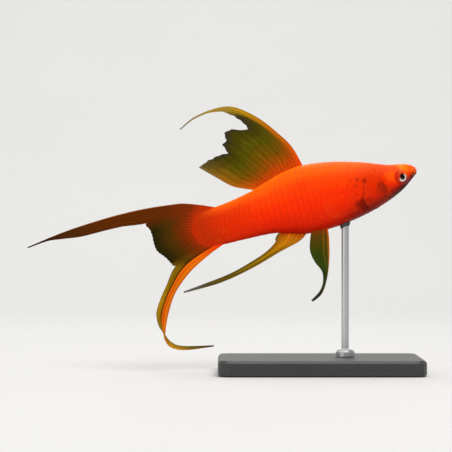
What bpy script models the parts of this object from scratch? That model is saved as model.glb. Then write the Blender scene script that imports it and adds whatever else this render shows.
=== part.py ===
"""A male lyretail swordtail on a display stand, at life size, in metres with +Z up.

The fish is modelled level, in millimetres: s runs backwards from the tip of the snout, y to the
fish's left and h upwards from the axis of the head. An empty then pitches the whole fish nose up
and lifts it over the stand. The origin is the centre of the underside of the stand's base.
"""
import math

import bmesh
import bpy
from mathutils import Euler, Vector
from mathutils.bvhtree import BVHTree

MM = 0.001
GAP = 0.3                      # clearance between neighbouring pieces
SLANTED_GAP = 0.36             # the same along an axis that meets the gap's faces at a slant
SHARP_ANGLE = math.radians(50)
CURVE_STEPS = 12               # straight steps that stand for each span of a smooth curve

# Pose of the fish over the stand
PITCH = math.radians(14.5)     # nose-up angle of the body
SNOUT_X = 32.3                 # snout ahead of the stand's centre
SNOUT_Z = 67.0                 # snout above the surface that the stand is on

# Body: distance behind the snout, then the measure named by the list
STANDARD_LENGTH = 75.0         # snout to the end of the tail stalk
BACK_LINE = [(0, 0.3), (0.3, 1.4), (0.9, 2.1), (2.0, 2.8), (3.6, 3.45), (5.5, 3.85), (9.8, 4.8),
             (17.6, 7.7), (27.3, 10.3), (36.0, 11.4), (44.5, 10.3), (53.8, 7.7), (64.6, 5.7), (75, 4.9)]
BELLY_LINE = [(0, 0.3), (0.3, -0.8), (0.9, -1.25), (2.7, -2.6), (5.3, -4.5), (11.2, -7.3),
              (18.6, -9.5), (27.7, -11.1), (34.5, -11.5), (39.7, -11.2), (46.2, -9.4), (52.0, -8.2),
              (61.2, -7.8), (75, -7.6)]
WIDEST_LEVEL = [(0, 0.3), (5, 0.2), (12, -0.3), (20, -0.8), (36, -0.5), (50, -0.6), (75, -1.2)]
HALF_WIDTH = [(0, 0), (0.3, 1.3), (0.9, 1.9), (2.0, 2.55), (3.6, 3.25), (5.5, 3.9), (9.0, 4.75),
              (14, 5.4), (22, 5.75), (30, 5.55), (38, 4.9), (46, 3.8), (54, 2.75), (62, 2.05),
              (69, 1.35), (77, 0.5)]
HEAD_SQUARENESS = 2.7          # superellipse power of the broad, flat top of the head
BODY_SQUARENESS = 2.05         # the same of the rest of the body
FLAT_TOP_END = 30.0            # the flat top has rounded off by here

# Cuts between the lengths of the body: angle down from the back in degrees, then the distance
GILL_OPENING = [(0, 12.0), (47, 13.8), (77, 17.6), (113, 19.7), (134, 19.2), (158, 17.0), (180, 15.4)]
STALK_FRONT = 55.0
STALK_FRONT_BOW = 2.0
STALK_END = 69.2
STALK_END_BOW = 6.6
SIDE_STEPS = 14                # steps from the back down one side to the belly
HEAD_RINGS = 24                # rings of points, closer together towards the snout
TRUNK_RINGS = 24
STALK_RINGS = 12

# Head
GILL_COVER_LIFT = 0.3          # the cover's edge stands this far off the flank
GILL_COVER_REACH = 2.6         # width of the raised edge
MOUTH_LINE = [(-2.0, 1.6), (0.4, 1.0), (1.2, 0.35), (1.8, -0.45)]
JAW_HINGE_LINE = [(2.2, -1.9), (2.7, -3.2), (3.3, -6.0)]
JAW_CORNER = (-2.0, -6.0)      # below and ahead of the chin, to close the jaw's outline
JAW_CUT_DEPTH = 9.0            # half of the depth of that outline, more than half of the head
LIP_LIFT = 0.16
LIP_REACH = 0.55
EYE_CENTRE = (5.75, 3.2, -0.5)
EYE_RADIUS = 2.45
EYE_DEPTH = 1.5                # half of the eyeball's size from side to side
EYE_TURN = math.radians(14)    # the eyes look a little forwards
NOSTRILS = [(2.7, 52), (3.6, 50)]
NOSTRIL_RADIUS = 0.32
EYE_GRID = (24, 12)            # points around the eye's axis and rings along it
NOSTRIL_GRID = (10, 6)

# Build of each fin: rays, rows of points along them, thickness on and between the rays at the
# root, and the share of it that is left at the outer edge
DORSAL_BUILD = (15, 12, 0.85, 0.6, 0.75)
FILAMENT_BUILD = (1, 10, 0.5, 0.6, 0.75)
WEB_BUILD = (17, 9, 0.85, 0.6, 0.75)
SWORD_BUILD = (5, 20, 0.7, 0.5, 0.8)
LYRE_BUILD = (6, 14, 0.7, 0.5, 0.9)
CURL_BUILD = (4, 26, 0.65, 0.5, 0.8)
GONOPODIUM_BUILD = (4, 18, 1.0, 0.7, 0.75)
PELVIC_BUILD = (5, 14, 0.7, 0.5, 0.8)
PECTORAL_BUILD = (8, 7, 0.7, 0.5, 0.8)

# Edges of the fins
DORSAL_BASE = (36.3, 42.0, 48.0, 53.6)
DORSAL_LEAD = [(38.3, 18.2), (41.8, 24.0), (46.3, 29.9), (50.8, 34.0), (54.3, 36.2), (57.5, 36.95)]
DORSAL_TRAIL = [(57.0, 8.6), (61.0, 10.6), (65.1, 14.4), (70.1, 19.3)]
DORSAL_EDGE = [(57.5, 36.95), (57.5, 35.2), (54.5, 32.9), (52.2, 30.2), (51.0, 27.6), (53.7, 27.9),
               (56.6, 29.1), (59.3, 28.4), (59.0, 26.0), (60.7, 24.7), (59.6, 21.6), (62.5, 21.7),
               (66.5, 20.9), (70.1, 19.3)]
FILAMENT_UPPER = [(57.8, 36.95), (63.5, 36.75), (68.3, 35.7), (73.1, 33.3)]
FILAMENT_LOWER = [(57.8, 35.4), (63.4, 36.0), (68.2, 35.1), (72.9, 32.9)]
CAUDAL_UPPER_EDGE = [(72.9, 7.2), (79.2, 9.3), (85.9, 10.2), (92.3, 10.75)]
CAUDAL_LOWER_EDGE = [(73.7, -9.5), (79.6, -12.3), (81.8, -13.5)]
CAUDAL_REAR_EDGE = [(92.3, 10.75), (92.3, 5.2), (91.2, 3.4), (90.9, 1.1), (91.0, -1.6), (90.5, -4.3),
                    (88.4, -7.0), (86.6, -10.3), (81.8, -13.5)]
SWORD_UPPER_EDGE = [(92.6, 10.8), (103.0, 10.75), (113.5, 10.25), (119.0, 9.75), (124.1, 9.1), (131.9, 7.9)]
SWORD_LOWER_EDGE = [(92.6, 5.3), (97.2, 6.4), (104.0, 6.75), (113.5, 6.8), (119.9, 7.6), (125.0, 8.15),
                    (131.8, 7.4)]
LYRE_OUTER_EDGE = [(82.0, -13.75), (87.9, -18.9), (92.0, -25.1), (94.7, -31.3), (95.3, -33.4),
                   (94.1, -36.4), (89.5, -38.5), (80.2, -39.7)]
LYRE_INNER_EDGE = [(86.8, -10.55), (89.4, -14.8), (93.2, -19.6), (95.9, -24.1), (96.2, -28.0),
                   (95.2, -31.2), (93.6, -34.5), (90.1, -36.9), (80.0, -39.1)]
LYRE_WEB_START = 0.795         # share of the web's rear edge at which the lower lobe begins
LYRE_FOLD = [(0, -0.24), (0.25, -0.8), (0.45, -0.72), (0.62, 0.44), (0.8, 0.2), (1, 0)]
LYRE_TWIST_PLACE = 0.53        # share of the lobe's length at which it stands edge on
LYRE_TWIST_REACH = 0.07
LYRE_TWIST_HALF = 1.2          # half of the lobe's width where it stands edge on
LYRE_END = 0.44                # the lower lobe's piece ends at this share of the length
CURL_START = 0.448             # and the curl's piece starts here
TAIL_SWAY = 1.6                # sideways drift of the tail fin at SWAY_LENGTH behind the stalk
SWAY_LENGTH = 50.0
GONOPODIUM_BASE = (40.4, 43.4, 46.5, 49.6)
GONOPODIUM_FRONT = [(43.6, -12.8), (51.0, -14.7), (58.4, -16.9), (65.7, -18.6), (74.0, -19.8),
                    (85.4, -19.95)]
GONOPODIUM_REAR = [(51.4, -10.9), (55.5, -13.5), (61.5, -15.6), (68.9, -17.5), (76.8, -18.5),
                   (85.3, -19.3)]
PELVIC_BASE = (33.6, 36.3, 39.0)
PELVIC_ROOT_LEVEL = -11.0      # the pelvic fins drift sideways below this height
PELVIC_HALF_SPREAD = 1.5       # distance of each pelvic fin's root from the mid-plane
PELVIC_SPLAY = 0.12            # sideways drift for each unit of drop
PELVIC_FRONT = [(34.0, -14.3), (35.8, -21.4), (38.2, -27.3), (41.0, -31.5), (44.7, -33.4)]
PELVIC_REAR = [(41.0, -16.3), (40.5, -20.7), (38.9, -24.6), (39.5, -28.2), (41.4, -30.9), (44.7, -32.9)]
PECTORAL_BASE = (21.9, -1.6, -4.9)
PECTORAL_LENGTH = 13.0
PECTORAL_SPREAD = math.radians(20)
PECTORAL_FAN = (-2, 30)        # slope of the highest and the lowest ray, in degrees down
PECTORAL_LONGEST = 0.35        # place of the longest ray, from the highest at 0 to the lowest at 1
PECTORAL_ROUNDING = 1.05       # how fast the rays shorten away from the longest
PECTORAL_BULGE = 0.9           # outward bow of the upper and lower edges

# Stand
BASE_SIZE = (68.0, 46.0, 5.0)
BASE_CORNER = 4.0
CORNER_STEPS = 4
BASE_EDGE = 0.8                # bevel of the upper edge
BASE_FOOT_EDGE = 0.4           # bevel of the lower edge
ROD_X = 8.4
ROD_RADIUS = 1.25
ROD_SIDES = 20
COLLAR_RADIUS = 3.2
COLLAR_HEIGHT = 2.2
COLLAR_EDGE = 0.8              # bevel of the collar's upper edge
COLLAR_SIDES = 28

# Finish of each node: red, green, blue, roughness and metallic
RED_SKIN = (0.86, 0.12, 0.01, 0.45, 0.0)
TAIL_RED = (0.62, 0.08, 0.01, 0.35, 0.0)
TAIL_OCHRE = (0.55, 0.20, 0.03, 0.35, 0.0)
TAIL_ORANGE = (0.78, 0.22, 0.02, 0.35, 0.0)
CURL_GOLD = (0.50, 0.36, 0.10, 0.35, 0.0)
DORSAL_OLIVE = (0.24, 0.16, 0.02, 0.35, 0.0)
ANAL_OCHRE = (0.34, 0.20, 0.03, 0.35, 0.0)
PELVIC_GREEN = (0.10, 0.14, 0.03, 0.35, 0.0)
CLEAR_FIN = (0.70, 0.60, 0.50, 0.35, 0.0)
EYE_GLOSS = (0.05, 0.01, 0.01, 0.08, 0.0)
STAND_GREY = (0.09, 0.09, 0.09, 0.5, 0.0)
ROD_STEEL = (0.60, 0.60, 0.60, 0.25, 1.0)


def clear_scene():
    """Take out every object that the new file starts with."""
    for item in list(bpy.data.objects):
        bpy.data.objects.remove(item, do_unlink=True)


def catmull(before, start, end, after, share):
    """Value at a share of the way from start to end, on a smooth curve through all four."""
    return 0.5 * (2 * start + (end - before) * share
                  + (2 * before - 5 * start + 4 * end - after) * share ** 2
                  + (3 * start - before - 3 * end + after) * share ** 3)


def profile(pairs, warp=math.sqrt):
    """A smooth function through (distance, value) pairs; its rise at zero is as steep as warp's."""
    places = [warp(place) for place, _ in pairs]
    values = [value for _, value in pairs]
    last = len(pairs) - 1
    slopes = []
    for index in range(last + 1):
        low, high = max(index - 1, 0), min(index + 1, last)
        slopes.append((values[high] - values[low]) / (places[high] - places[low]))

    def value_at(distance):
        place = min(max(warp(max(distance, 0.0)), places[0]), places[-1])
        index = 0
        while index < last - 1 and place > places[index + 1]:
            index += 1
        span = places[index + 1] - places[index]
        share = (place - places[index]) / span
        rise, fall = share ** 2 * (3 - 2 * share), share * (1 - share) ** 2
        return (values[index] * (1 - rise) + values[index + 1] * rise
                + slopes[index] * span * fall - slopes[index + 1] * span * share ** 2 * (1 - share))

    return value_at


def plain_warp(value):
    return value


back = profile(BACK_LINE)
belly = profile(BELLY_LINE)
level = profile(WIDEST_LEVEL)
half_width = profile(HALF_WIDTH)
gill_opening = profile(GILL_OPENING, plain_warp)
lyre_fold = profile(LYRE_FOLD, plain_warp)    # sideways offset from the outer edge to the inner


def squareness(s, above):
    """Superellipse power of the section at s, above or below its widest level."""
    if not above:
        return BODY_SQUARENESS
    rounded = min(s / FLAT_TOP_END, 1.0)
    return HEAD_SQUARENESS + (BODY_SQUARENESS - HEAD_SQUARENESS) * rounded


def skin(s, angle):
    """Half-width and height of the skin at s, at an angle down from the back."""
    above = angle <= math.pi / 2
    power = 2 / squareness(s, above)
    end = back(s) if above else belly(s)
    height = level(s) + (end - level(s)) * abs(math.cos(angle)) ** power
    return half_width(s) * abs(math.sin(angle)) ** power, height


def skin_width(s, height):
    """Half-width of the skin at s and at a height."""
    above = height >= level(s)
    end = back(s) if above else belly(s)
    share = min(abs((height - level(s)) / (end - level(s))), 1.0)
    power = squareness(s, above)
    return half_width(s) * (1 - share ** power) ** (1 / power)


def belly_height(s, y):
    """Height of the skin of the underside at s, a distance y from the mid-plane."""
    share = min(abs(y) / half_width(s), 1.0)
    power = squareness(s, False)
    return level(s) + (belly(s) - level(s)) * (1 - share ** power) ** (1 / power)


def place(s, y, h):
    """A point of the level fish, in metres in the fish's own frame."""
    return Vector((-s, y, h)) * MM


def material(name, finish):
    """A material of one finish for one node."""
    made = bpy.data.materials.new(name)
    made.use_nodes = True
    shader = made.node_tree.nodes["Principled BSDF"]
    shader.inputs["Base Color"].default_value = (*finish[:3], 1.0)
    shader.inputs["Roughness"].default_value = finish[3]
    shader.inputs["Metallic"].default_value = finish[4]
    return made


def add_object(name, points, faces, finish, parent=None, smooth=True):
    """A closed mesh object from points in metres, its faces turned outwards."""
    mesh = bpy.data.meshes.new(name)
    mesh.from_pydata(points, [], faces)
    work = bmesh.new()
    work.from_mesh(mesh)
    bmesh.ops.recalc_face_normals(work, faces=work.faces)
    work.to_mesh(mesh)
    work.free()
    mesh.materials.append(material(name, finish))
    made = bpy.data.objects.new(name, mesh)
    bpy.context.scene.collection.objects.link(made)
    made.parent = parent
    if smooth:
        mesh.shade_smooth()
        mesh.set_sharp_from_angle(angle=SHARP_ANGLE)
    return made


def add_fish_frame():
    """The empty that pitches the level fish and lifts it over the stand."""
    frame = bpy.data.objects.new("fish", None)
    bpy.context.scene.collection.objects.link(frame)
    frame.location = Vector((SNOUT_X, 0, SNOUT_Z)) * MM
    frame.rotation_euler = (0, -PITCH, 0)
    return frame


def ring_faces(lower, upper):
    """Quads between two rings of the same number of points."""
    count = len(lower)
    return [(lower[k], lower[(k + 1) % count], upper[(k + 1) % count], upper[k]) for k in range(count)]


def cap_faces(ring):
    """Strips from side to side that close a ring whose left and right points are paired."""
    half = len(ring) // 2
    faces = [(ring[0], ring[1], ring[-1]), (ring[half], ring[half + 1], ring[half - 1])]
    for k in range(1, half - 1):
        faces.append((ring[k], ring[k + 1], ring[-k - 1], ring[-k]))
    return faces


def body_length(name, front, rear, shares, relief, parent):
    """A length of the body between two cuts, each a function of the angle down from the back.

    The shares say how far each ring lies from the front cut to the rear one. A front of None
    starts the length at the tip of the snout.
    """
    points, rings, faces = [], [], []
    for share in shares:
        ring = []
        for k in range(2 * SIDE_STEPS):
            side = 1 if k <= SIDE_STEPS else -1
            angle = math.pi * (k if side > 0 else 2 * SIDE_STEPS - k) / SIDE_STEPS
            start = front(angle) if front else 0.0
            s = start + (rear(angle) - start) * share
            width, height = skin(s, angle)
            swell = relief(s, angle, width, height)
            points.append(place(s, side * (width + swell * math.sin(angle)), height))
            ring.append(len(points) - 1)
        rings.append(ring)
    for lower, upper in zip(rings, rings[1:]):
        faces += ring_faces(lower, upper)
    if front:
        faces += cap_faces(rings[0])
    else:
        points.append(place(0, 0, back(0)))
        nose = len(points) - 1
        faces += [(rings[0][k], rings[0][k - 1], nose) for k in range(2 * SIDE_STEPS)]
    faces += cap_faces(rings[-1])
    return add_object(name, points, faces, RED_SKIN, parent)


def gill_edge(angle):
    return gill_opening(math.degrees(angle))


def stalk_front(angle):
    return STALK_FRONT + STALK_FRONT_BOW * math.sin(angle) ** 2


def stalk_end(angle):
    return STALK_END + STALK_END_BOW * math.sin(angle)


def behind(cut):
    """The same cut, moved back by the clearance."""
    return lambda angle: cut(angle) + SLANTED_GAP


def no_relief(s, angle, width, height):
    return 0.0


def distance_to_line(s, h, line):
    """Distance in the side view from a point to a run of points."""
    here = Vector((s, h))
    nearest = math.inf
    for start, end in zip(line, line[1:]):
        run = Vector(end) - Vector(start)
        share = min(max((here - Vector(start)).dot(run) / run.length_squared, 0.0), 1.0)
        nearest = min(nearest, (here - Vector(start) - run * share).length)
    return nearest


def head_relief(s, angle, width, height):
    """The raised edge of the gill cover and the lips."""
    before_edge = gill_edge(angle) - s
    cover = GILL_COVER_LIFT * max(0.0, 1 - before_edge / GILL_COVER_REACH) ** 2 * math.sin(angle) ** 2
    lip = LIP_LIFT * max(0.0, 1 - distance_to_line(s, height, MOUTH_LINE) / LIP_REACH)
    return cover + lip


def extruded_cutter(name, outline, half_depth, parent):
    """A side-view outline extruded through the head, to cut with."""
    points = [place(s, side * half_depth, h) for side in (-1, 1) for s, h in outline]
    count = len(outline)
    near, far = list(range(count)), list(range(count, 2 * count))
    faces = [tuple(near), tuple(reversed(far))] + ring_faces(near, far)
    return add_object(name, points, faces, RED_SKIN, parent, smooth=False)


def ellipsoid(name, centre, radii, turn, grid, parent):
    """An ellipsoid with its poles to the left and right, turned about the vertical."""
    segments, rings = grid
    points, faces, loops = [], [], []
    for row in range(1, rings):
        tilt = math.pi * row / rings
        loop = []
        for k in range(segments):
            spin = 2 * math.pi * k / segments
            offset = Vector((radii[0] * math.sin(tilt) * math.cos(spin), radii[1] * math.cos(tilt),
                             radii[2] * math.sin(tilt) * math.sin(spin)))
            offset.rotate(turn)
            points.append(place(*centre) + offset * MM)
            loop.append(len(points) - 1)
        loops.append(loop)
    for lower, upper in zip(loops, loops[1:]):
        faces += ring_faces(lower, upper)
    for pole, loop in ((1, loops[0]), (-1, loops[-1])):
        offset = Vector((0, pole * radii[1], 0))
        offset.rotate(turn)
        points.append(place(*centre) + offset * MM)
        faces += [(loop[k], loop[k - 1], len(points) - 1) for k in range(segments)]
    return add_object(name, points, faces, EYE_GLOSS, parent)


def eyeball(name, side, clearance, parent):
    """The flattened ball of one eye, larger by the clearance where it is to cut a socket."""
    s, y, h = EYE_CENTRE
    turn = Euler((0, 0, -side * EYE_TURN))
    radii = (EYE_RADIUS + clearance, EYE_DEPTH + clearance, EYE_RADIUS + clearance)
    return ellipsoid(name, (s, side * y, h), radii, turn, EYE_GRID, parent)


def apply_boolean(target, cutters, operation):
    """Apply a Boolean of the target with each cutter, remove the cutters, keep the largest body."""
    for cutter in cutters:
        cutter.hide_render = True
        cutter.display_type = "WIRE"
        step = target.modifiers.new(cutter.name, "BOOLEAN")
        step.operation = operation
        step.object = cutter
        step.solver = "EXACT"
    bpy.context.view_layer.update()
    evaluated = target.evaluated_get(bpy.context.evaluated_depsgraph_get())
    result = bpy.data.meshes.new_from_object(evaluated)
    target.modifiers.clear()
    target.data = result
    for cutter in cutters:
        bpy.data.objects.remove(cutter, do_unlink=True)
    keep_largest(target)


def keep_largest(target):
    """Drop all but the largest closed surface of a mesh."""
    work = bmesh.new()
    work.from_mesh(target.data)
    unseen = set(work.faces)
    groups = []
    while unseen:
        group, edge = set(), [unseen.pop()]
        while edge:
            face = edge.pop()
            group.add(face)
            for side in face.edges:
                for other in side.link_faces:
                    if other in unseen:
                        unseen.remove(other)
                        edge.append(other)
        groups.append(group)
    groups.sort(key=lambda group: sum(face.calc_area() for face in group))
    scraps = [face for group in groups[:-1] for face in group]
    bmesh.ops.delete(work, geom=scraps, context="FACES")
    work.to_mesh(target.data)
    work.free()


def shifted(line, ds, dh):
    return [(s + ds, h + dh) for s, h in line]


def build_head(fish):
    """The head with its eye sockets, nostrils and gill covers, and the lower jaw."""
    shares = [(step / HEAD_RINGS) ** 2 for step in range(1, HEAD_RINGS + 1)]
    head = body_length("head", None, gill_edge, shares, head_relief, fish)
    jaw = body_length("jaw_lower", None, gill_edge, shares, head_relief, fish)
    jaw_room = MOUTH_LINE + JAW_HINGE_LINE + [JAW_CORNER]
    jaw_core = (shifted(MOUTH_LINE, -GAP / 2, -GAP)
                + shifted(JAW_HINGE_LINE + [JAW_CORNER], -SLANTED_GAP, 0))
    apply_boolean(jaw, [extruded_cutter("jaw_shape", jaw_core, JAW_CUT_DEPTH, fish)], "INTERSECT")
    cutters = [extruded_cutter("jaw_cut", jaw_room, JAW_CUT_DEPTH, fish)]
    for side, tag in ((1, "left"), (-1, "right")):
        cutters.append(eyeball("socket_" + tag, side, GAP, fish))
        for number, (s, degrees) in enumerate(NOSTRILS):
            width, height = skin(s, math.radians(degrees))
            centre = (s, side * width, height)
            radii = (NOSTRIL_RADIUS,) * 3
            cutters.append(ellipsoid(f"nostril_{tag}_{number}", centre, radii, Euler((0, 0, 0)),
                                     NOSTRIL_GRID, fish))
    apply_boolean(head, cutters, "DIFFERENCE")
    for side, tag in ((1, "left"), (-1, "right")):
        eyeball("eye_" + tag, side, 0.0, fish)


def build_body(fish):
    """The trunk and the tail stalk."""
    trunk_shares = [step / TRUNK_RINGS for step in range(TRUNK_RINGS + 1)]
    trunk = body_length("trunk", behind(gill_edge), stalk_front, trunk_shares, no_relief, fish)
    stalk_shares = [step / STALK_RINGS for step in range(STALK_RINGS + 1)]
    body_length("tail_stalk", behind(stalk_front), stalk_end, stalk_shares, no_relief, fish)
    return trunk


def curve(points, smooth=True):
    """A curve through (s, y, h) or (s, h) points, as a function of the share of its length."""
    knots = [Vector((p[0], p[1] if len(p) == 3 else 0.0, p[-1])) for p in points]
    samples = []
    steps = CURVE_STEPS if smooth else 1
    for index in range(len(knots) - 1):
        before = knots[max(index - 1, 0)]
        after = knots[min(index + 2, len(knots) - 1)]
        for step in range(steps):
            share = step / steps
            if smooth:
                samples.append(catmull(before, knots[index], knots[index + 1], after, share))
            else:
                samples.append(knots[index])
    samples.append(knots[-1])
    lengths = [0.0]
    for start, end in zip(samples, samples[1:]):
        lengths.append(lengths[-1] + (end - start).length)

    def point_at(share):
        target = min(max(share, 0.0), 1.0) * lengths[-1]
        index = 0
        while index < len(lengths) - 2 and target > lengths[index + 1]:
            index += 1
        span = lengths[index + 1] - lengths[index]
        return samples[index].lerp(samples[index + 1], (target - lengths[index]) / span)

    return point_at


def patch(root, tip, lead, trail):
    """A surface of t across the rays and v along them, filled in between its four edges."""

    def point_at(t, v):
        along = root(t).lerp(tip(t), v)
        across = lead(v).lerp(trail(v), t)
        corners = root(0).lerp(root(1), t).lerp(tip(0).lerp(tip(1), t), v)
        return along + across - corners

    return point_at


def straight(start, end):
    return lambda share: start.lerp(end, share)


def fin(name, surface, build, finish, parent):
    """A closed sheet about a surface, thicker along each ray than between the rays."""
    rays, rows, crest, membrane, thinning = build
    columns = 2 * rays
    grid = [[surface(j / columns, i / rows) for j in range(columns + 1)] for i in range(rows + 1)]
    front, rear = [], []
    for i in range(rows + 1):
        for j in range(columns + 1):
            along = grid[min(i + 1, rows)][j] - grid[max(i - 1, 0)][j]
            across = grid[i][min(j + 1, columns)] - grid[i][max(j - 1, 0)]
            normal = along.cross(across).normalized()
            on_ray = j % 2 == 1 or j in (0, columns)
            thickness = (crest if on_ray else membrane) * (1 - (1 - thinning) * i / rows)
            front.append(place(*(grid[i][j] + normal * thickness / 2)))
            rear.append(place(*(grid[i][j] - normal * thickness / 2)))
    faces = []
    offset = len(front)
    for i in range(rows):
        for j in range(columns):
            a = i * (columns + 1) + j
            b, c, d = a + 1, a + columns + 2, a + columns + 1
            faces += [(a, b, c), (a, c, d)]
            faces += [(offset + c, offset + b, offset + a), (offset + d, offset + c, offset + a)]
    rim = list(range(columns + 1))
    rim += [(i + 1) * (columns + 1) + columns for i in range(rows)]
    rim += [rows * (columns + 1) + j for j in range(columns - 1, -1, -1)]
    rim += [i * (columns + 1) for i in range(rows - 1, 0, -1)]
    for a, b in zip(rim, rim[1:] + rim[:1]):
        faces += [(b, a, offset + a), (b, offset + a, offset + b)]
    return add_object(name, front + rear, faces, finish, parent)


def build_dorsal(fish):
    """The dorsal fin with its torn rear edge, and the filament at its top."""
    base = [(s, back(s) + GAP) for s in DORSAL_BASE]
    surface = patch(curve(base), curve(DORSAL_EDGE, smooth=False), curve([base[0]] + DORSAL_LEAD),
                    curve([base[-1]] + DORSAL_TRAIL))
    fin("dorsal_fin", surface, DORSAL_BUILD, DORSAL_OLIVE, fish)
    upper, lower = curve(FILAMENT_UPPER), curve(FILAMENT_LOWER)
    ribbon = patch(straight(upper(0), lower(0)), straight(upper(1), lower(1)), upper, lower)
    fin("dorsal_filament", ribbon, FILAMENT_BUILD, DORSAL_OLIVE, fish)


def swayed(surface):
    """The tail fin's surface, drifting sideways behind the stalk."""

    def point_at(t, v):
        point = surface(t, v)
        past = max(point.x - STANDARD_LENGTH, 0.0) / SWAY_LENGTH
        point.y -= TAIL_SWAY * past ** 2
        return point

    return point_at


def build_caudal(fish):
    """The tail fin's web, its upper lobe, and the lower lobe with its twist and curl."""
    root_points = []
    for k in range(SIDE_STEPS + 1):
        angle = math.pi * k / SIDE_STEPS
        s = stalk_end(angle)
        height = skin(s, angle)[1]
        outward = Vector((math.sin(angle), math.cos(angle)))
        root_points.append((s + GAP * outward.x, height + GAP * outward.y))
    root = curve(root_points)
    rear = curve(CAUDAL_REAR_EDGE, smooth=False)
    web = patch(root, rear, curve([root_points[0]] + CAUDAL_UPPER_EDGE),
                curve([root_points[-1]] + CAUDAL_LOWER_EDGE))

    def folded_web(t, v):
        point = web(t, v)
        point.y += lyre_fold(min((1 - t) / (1 - LYRE_WEB_START), 1.0)) * v
        return point

    fin("caudal_web", swayed(folded_web), WEB_BUILD, TAIL_RED, fish)

    upper, lower = curve(SWORD_UPPER_EDGE), curve(SWORD_LOWER_EDGE)
    sword = patch(straight(upper(0), lower(0)), straight(upper(1), lower(1)), upper, lower)
    fin("caudal_lobe_upper", swayed(sword), SWORD_BUILD, TAIL_OCHRE, fish)

    outer, inner = curve(LYRE_OUTER_EDGE), curve(LYRE_INNER_EDGE)

    def lyre(across, along):
        point = outer(along).lerp(inner(along), across)
        untwisted = min(max((LYRE_TWIST_PLACE - along) / (2 * LYRE_TWIST_REACH), 0.0), 1.0)
        point.y += lyre_fold(across) * untwisted
        turn = math.exp(-((along - LYRE_TWIST_PLACE) / LYRE_TWIST_REACH) ** 2)
        point.y += LYRE_TWIST_HALF * (2 * across - 1) * turn
        return point

    def lobe(t, v):
        return lyre(t, v * LYRE_END)

    def curl(t, v):
        return lyre(t, CURL_START + (1 - CURL_START) * v)

    fin("caudal_lobe_lower", swayed(lobe), LYRE_BUILD, TAIL_ORANGE, fish)
    fin("caudal_curl", swayed(curl), CURL_BUILD, CURL_GOLD, fish)


def build_anal(fish):
    """The anal fin, drawn out into a long gonopodium."""
    base = [(s, belly(s) - GAP) for s in GONOPODIUM_BASE]
    front, rear = curve([base[0]] + GONOPODIUM_FRONT), curve([base[-1]] + GONOPODIUM_REAR)
    surface = patch(curve(base), straight(front(1), rear(1)), front, rear)
    fin("gonopodium", surface, GONOPODIUM_BUILD, ANAL_OCHRE, fish)


def build_pelvic(fish):
    """The two pelvic fins, each with a long leading ray."""
    for side, tag in ((1, "left"), (-1, "right")):
        base = [(s, belly_height(s, PELVIC_HALF_SPREAD) - GAP) for s in PELVIC_BASE]
        front, rear = curve([base[0]] + PELVIC_FRONT), curve([base[-1]] + PELVIC_REAR)
        flat = patch(curve(base), straight(front(1), rear(1)), front, rear)

        def surface(t, v):
            point = flat(t, v)
            drop = max(PELVIC_ROOT_LEVEL - point.z, 0.0)
            point.y = side * (PELVIC_HALF_SPREAD + PELVIC_SPLAY * drop)
            return point

        fin("pelvic_fin_" + tag, surface, PELVIC_BUILD, PELVIC_GREEN, fish)


def build_pectoral(fish):
    """The two clear pectoral fins, held back and a little out from the flanks."""
    s, high, low = PECTORAL_BASE
    for side, tag in ((1, "left"), (-1, "right")):

        def surface(t, v):
            height = high + (low - high) * t
            slope = math.radians(PECTORAL_FAN[0] + (PECTORAL_FAN[1] - PECTORAL_FAN[0]) * t)
            reach = PECTORAL_LENGTH * v * (1 - PECTORAL_ROUNDING * (t - PECTORAL_LONGEST) ** 2)
            bulge = PECTORAL_BULGE * (2 * t - 1) * math.sin(math.pi * v)
            back_by = reach * math.cos(slope) * math.cos(PECTORAL_SPREAD)
            out_by = reach * math.sin(PECTORAL_SPREAD)
            drop_by = reach * math.sin(slope)
            root_y = skin_width(s, height) + GAP
            return Vector((s + back_by, side * (root_y + out_by), height - drop_by - bulge))

        fin("pectoral_fin_" + tag, surface, PECTORAL_BUILD, CLEAR_FIN, fish)


def stacked(name, loops, finish):
    """A solid through loops of (x, y, z) points, bottom to top."""
    points = [Vector(point) * MM for loop in loops for point in loop]
    count = len(loops[0])
    rings = [list(range(start, start + count)) for start in range(0, len(points), count)]
    faces = [tuple(reversed(rings[0])), tuple(rings[-1])]
    for lower, upper in zip(rings, rings[1:]):
        faces += ring_faces(lower, upper)
    return add_object(name, points, faces, finish)


def base_loop(inset, z):
    """The base's outline with round corners, drawn in by the inset."""
    length, width, _ = BASE_SIZE
    radius = BASE_CORNER - inset
    loop = []
    for corner, (x_sign, y_sign) in enumerate([(1, 1), (-1, 1), (-1, -1), (1, -1)]):
        for step in range(CORNER_STEPS + 1):
            angle = math.pi / 2 * (corner + step / CORNER_STEPS)
            loop.append((x_sign * (length / 2 - BASE_CORNER) + radius * math.cos(angle),
                         y_sign * (width / 2 - BASE_CORNER) + radius * math.sin(angle), z))
    return loop


def round_loop(radius, z, sides):
    """A level circle about the rod's axis."""
    turns = [2 * math.pi * k / sides for k in range(sides)]
    return [(ROD_X + radius * math.cos(turn), radius * math.sin(turn), z) for turn in turns]


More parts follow.
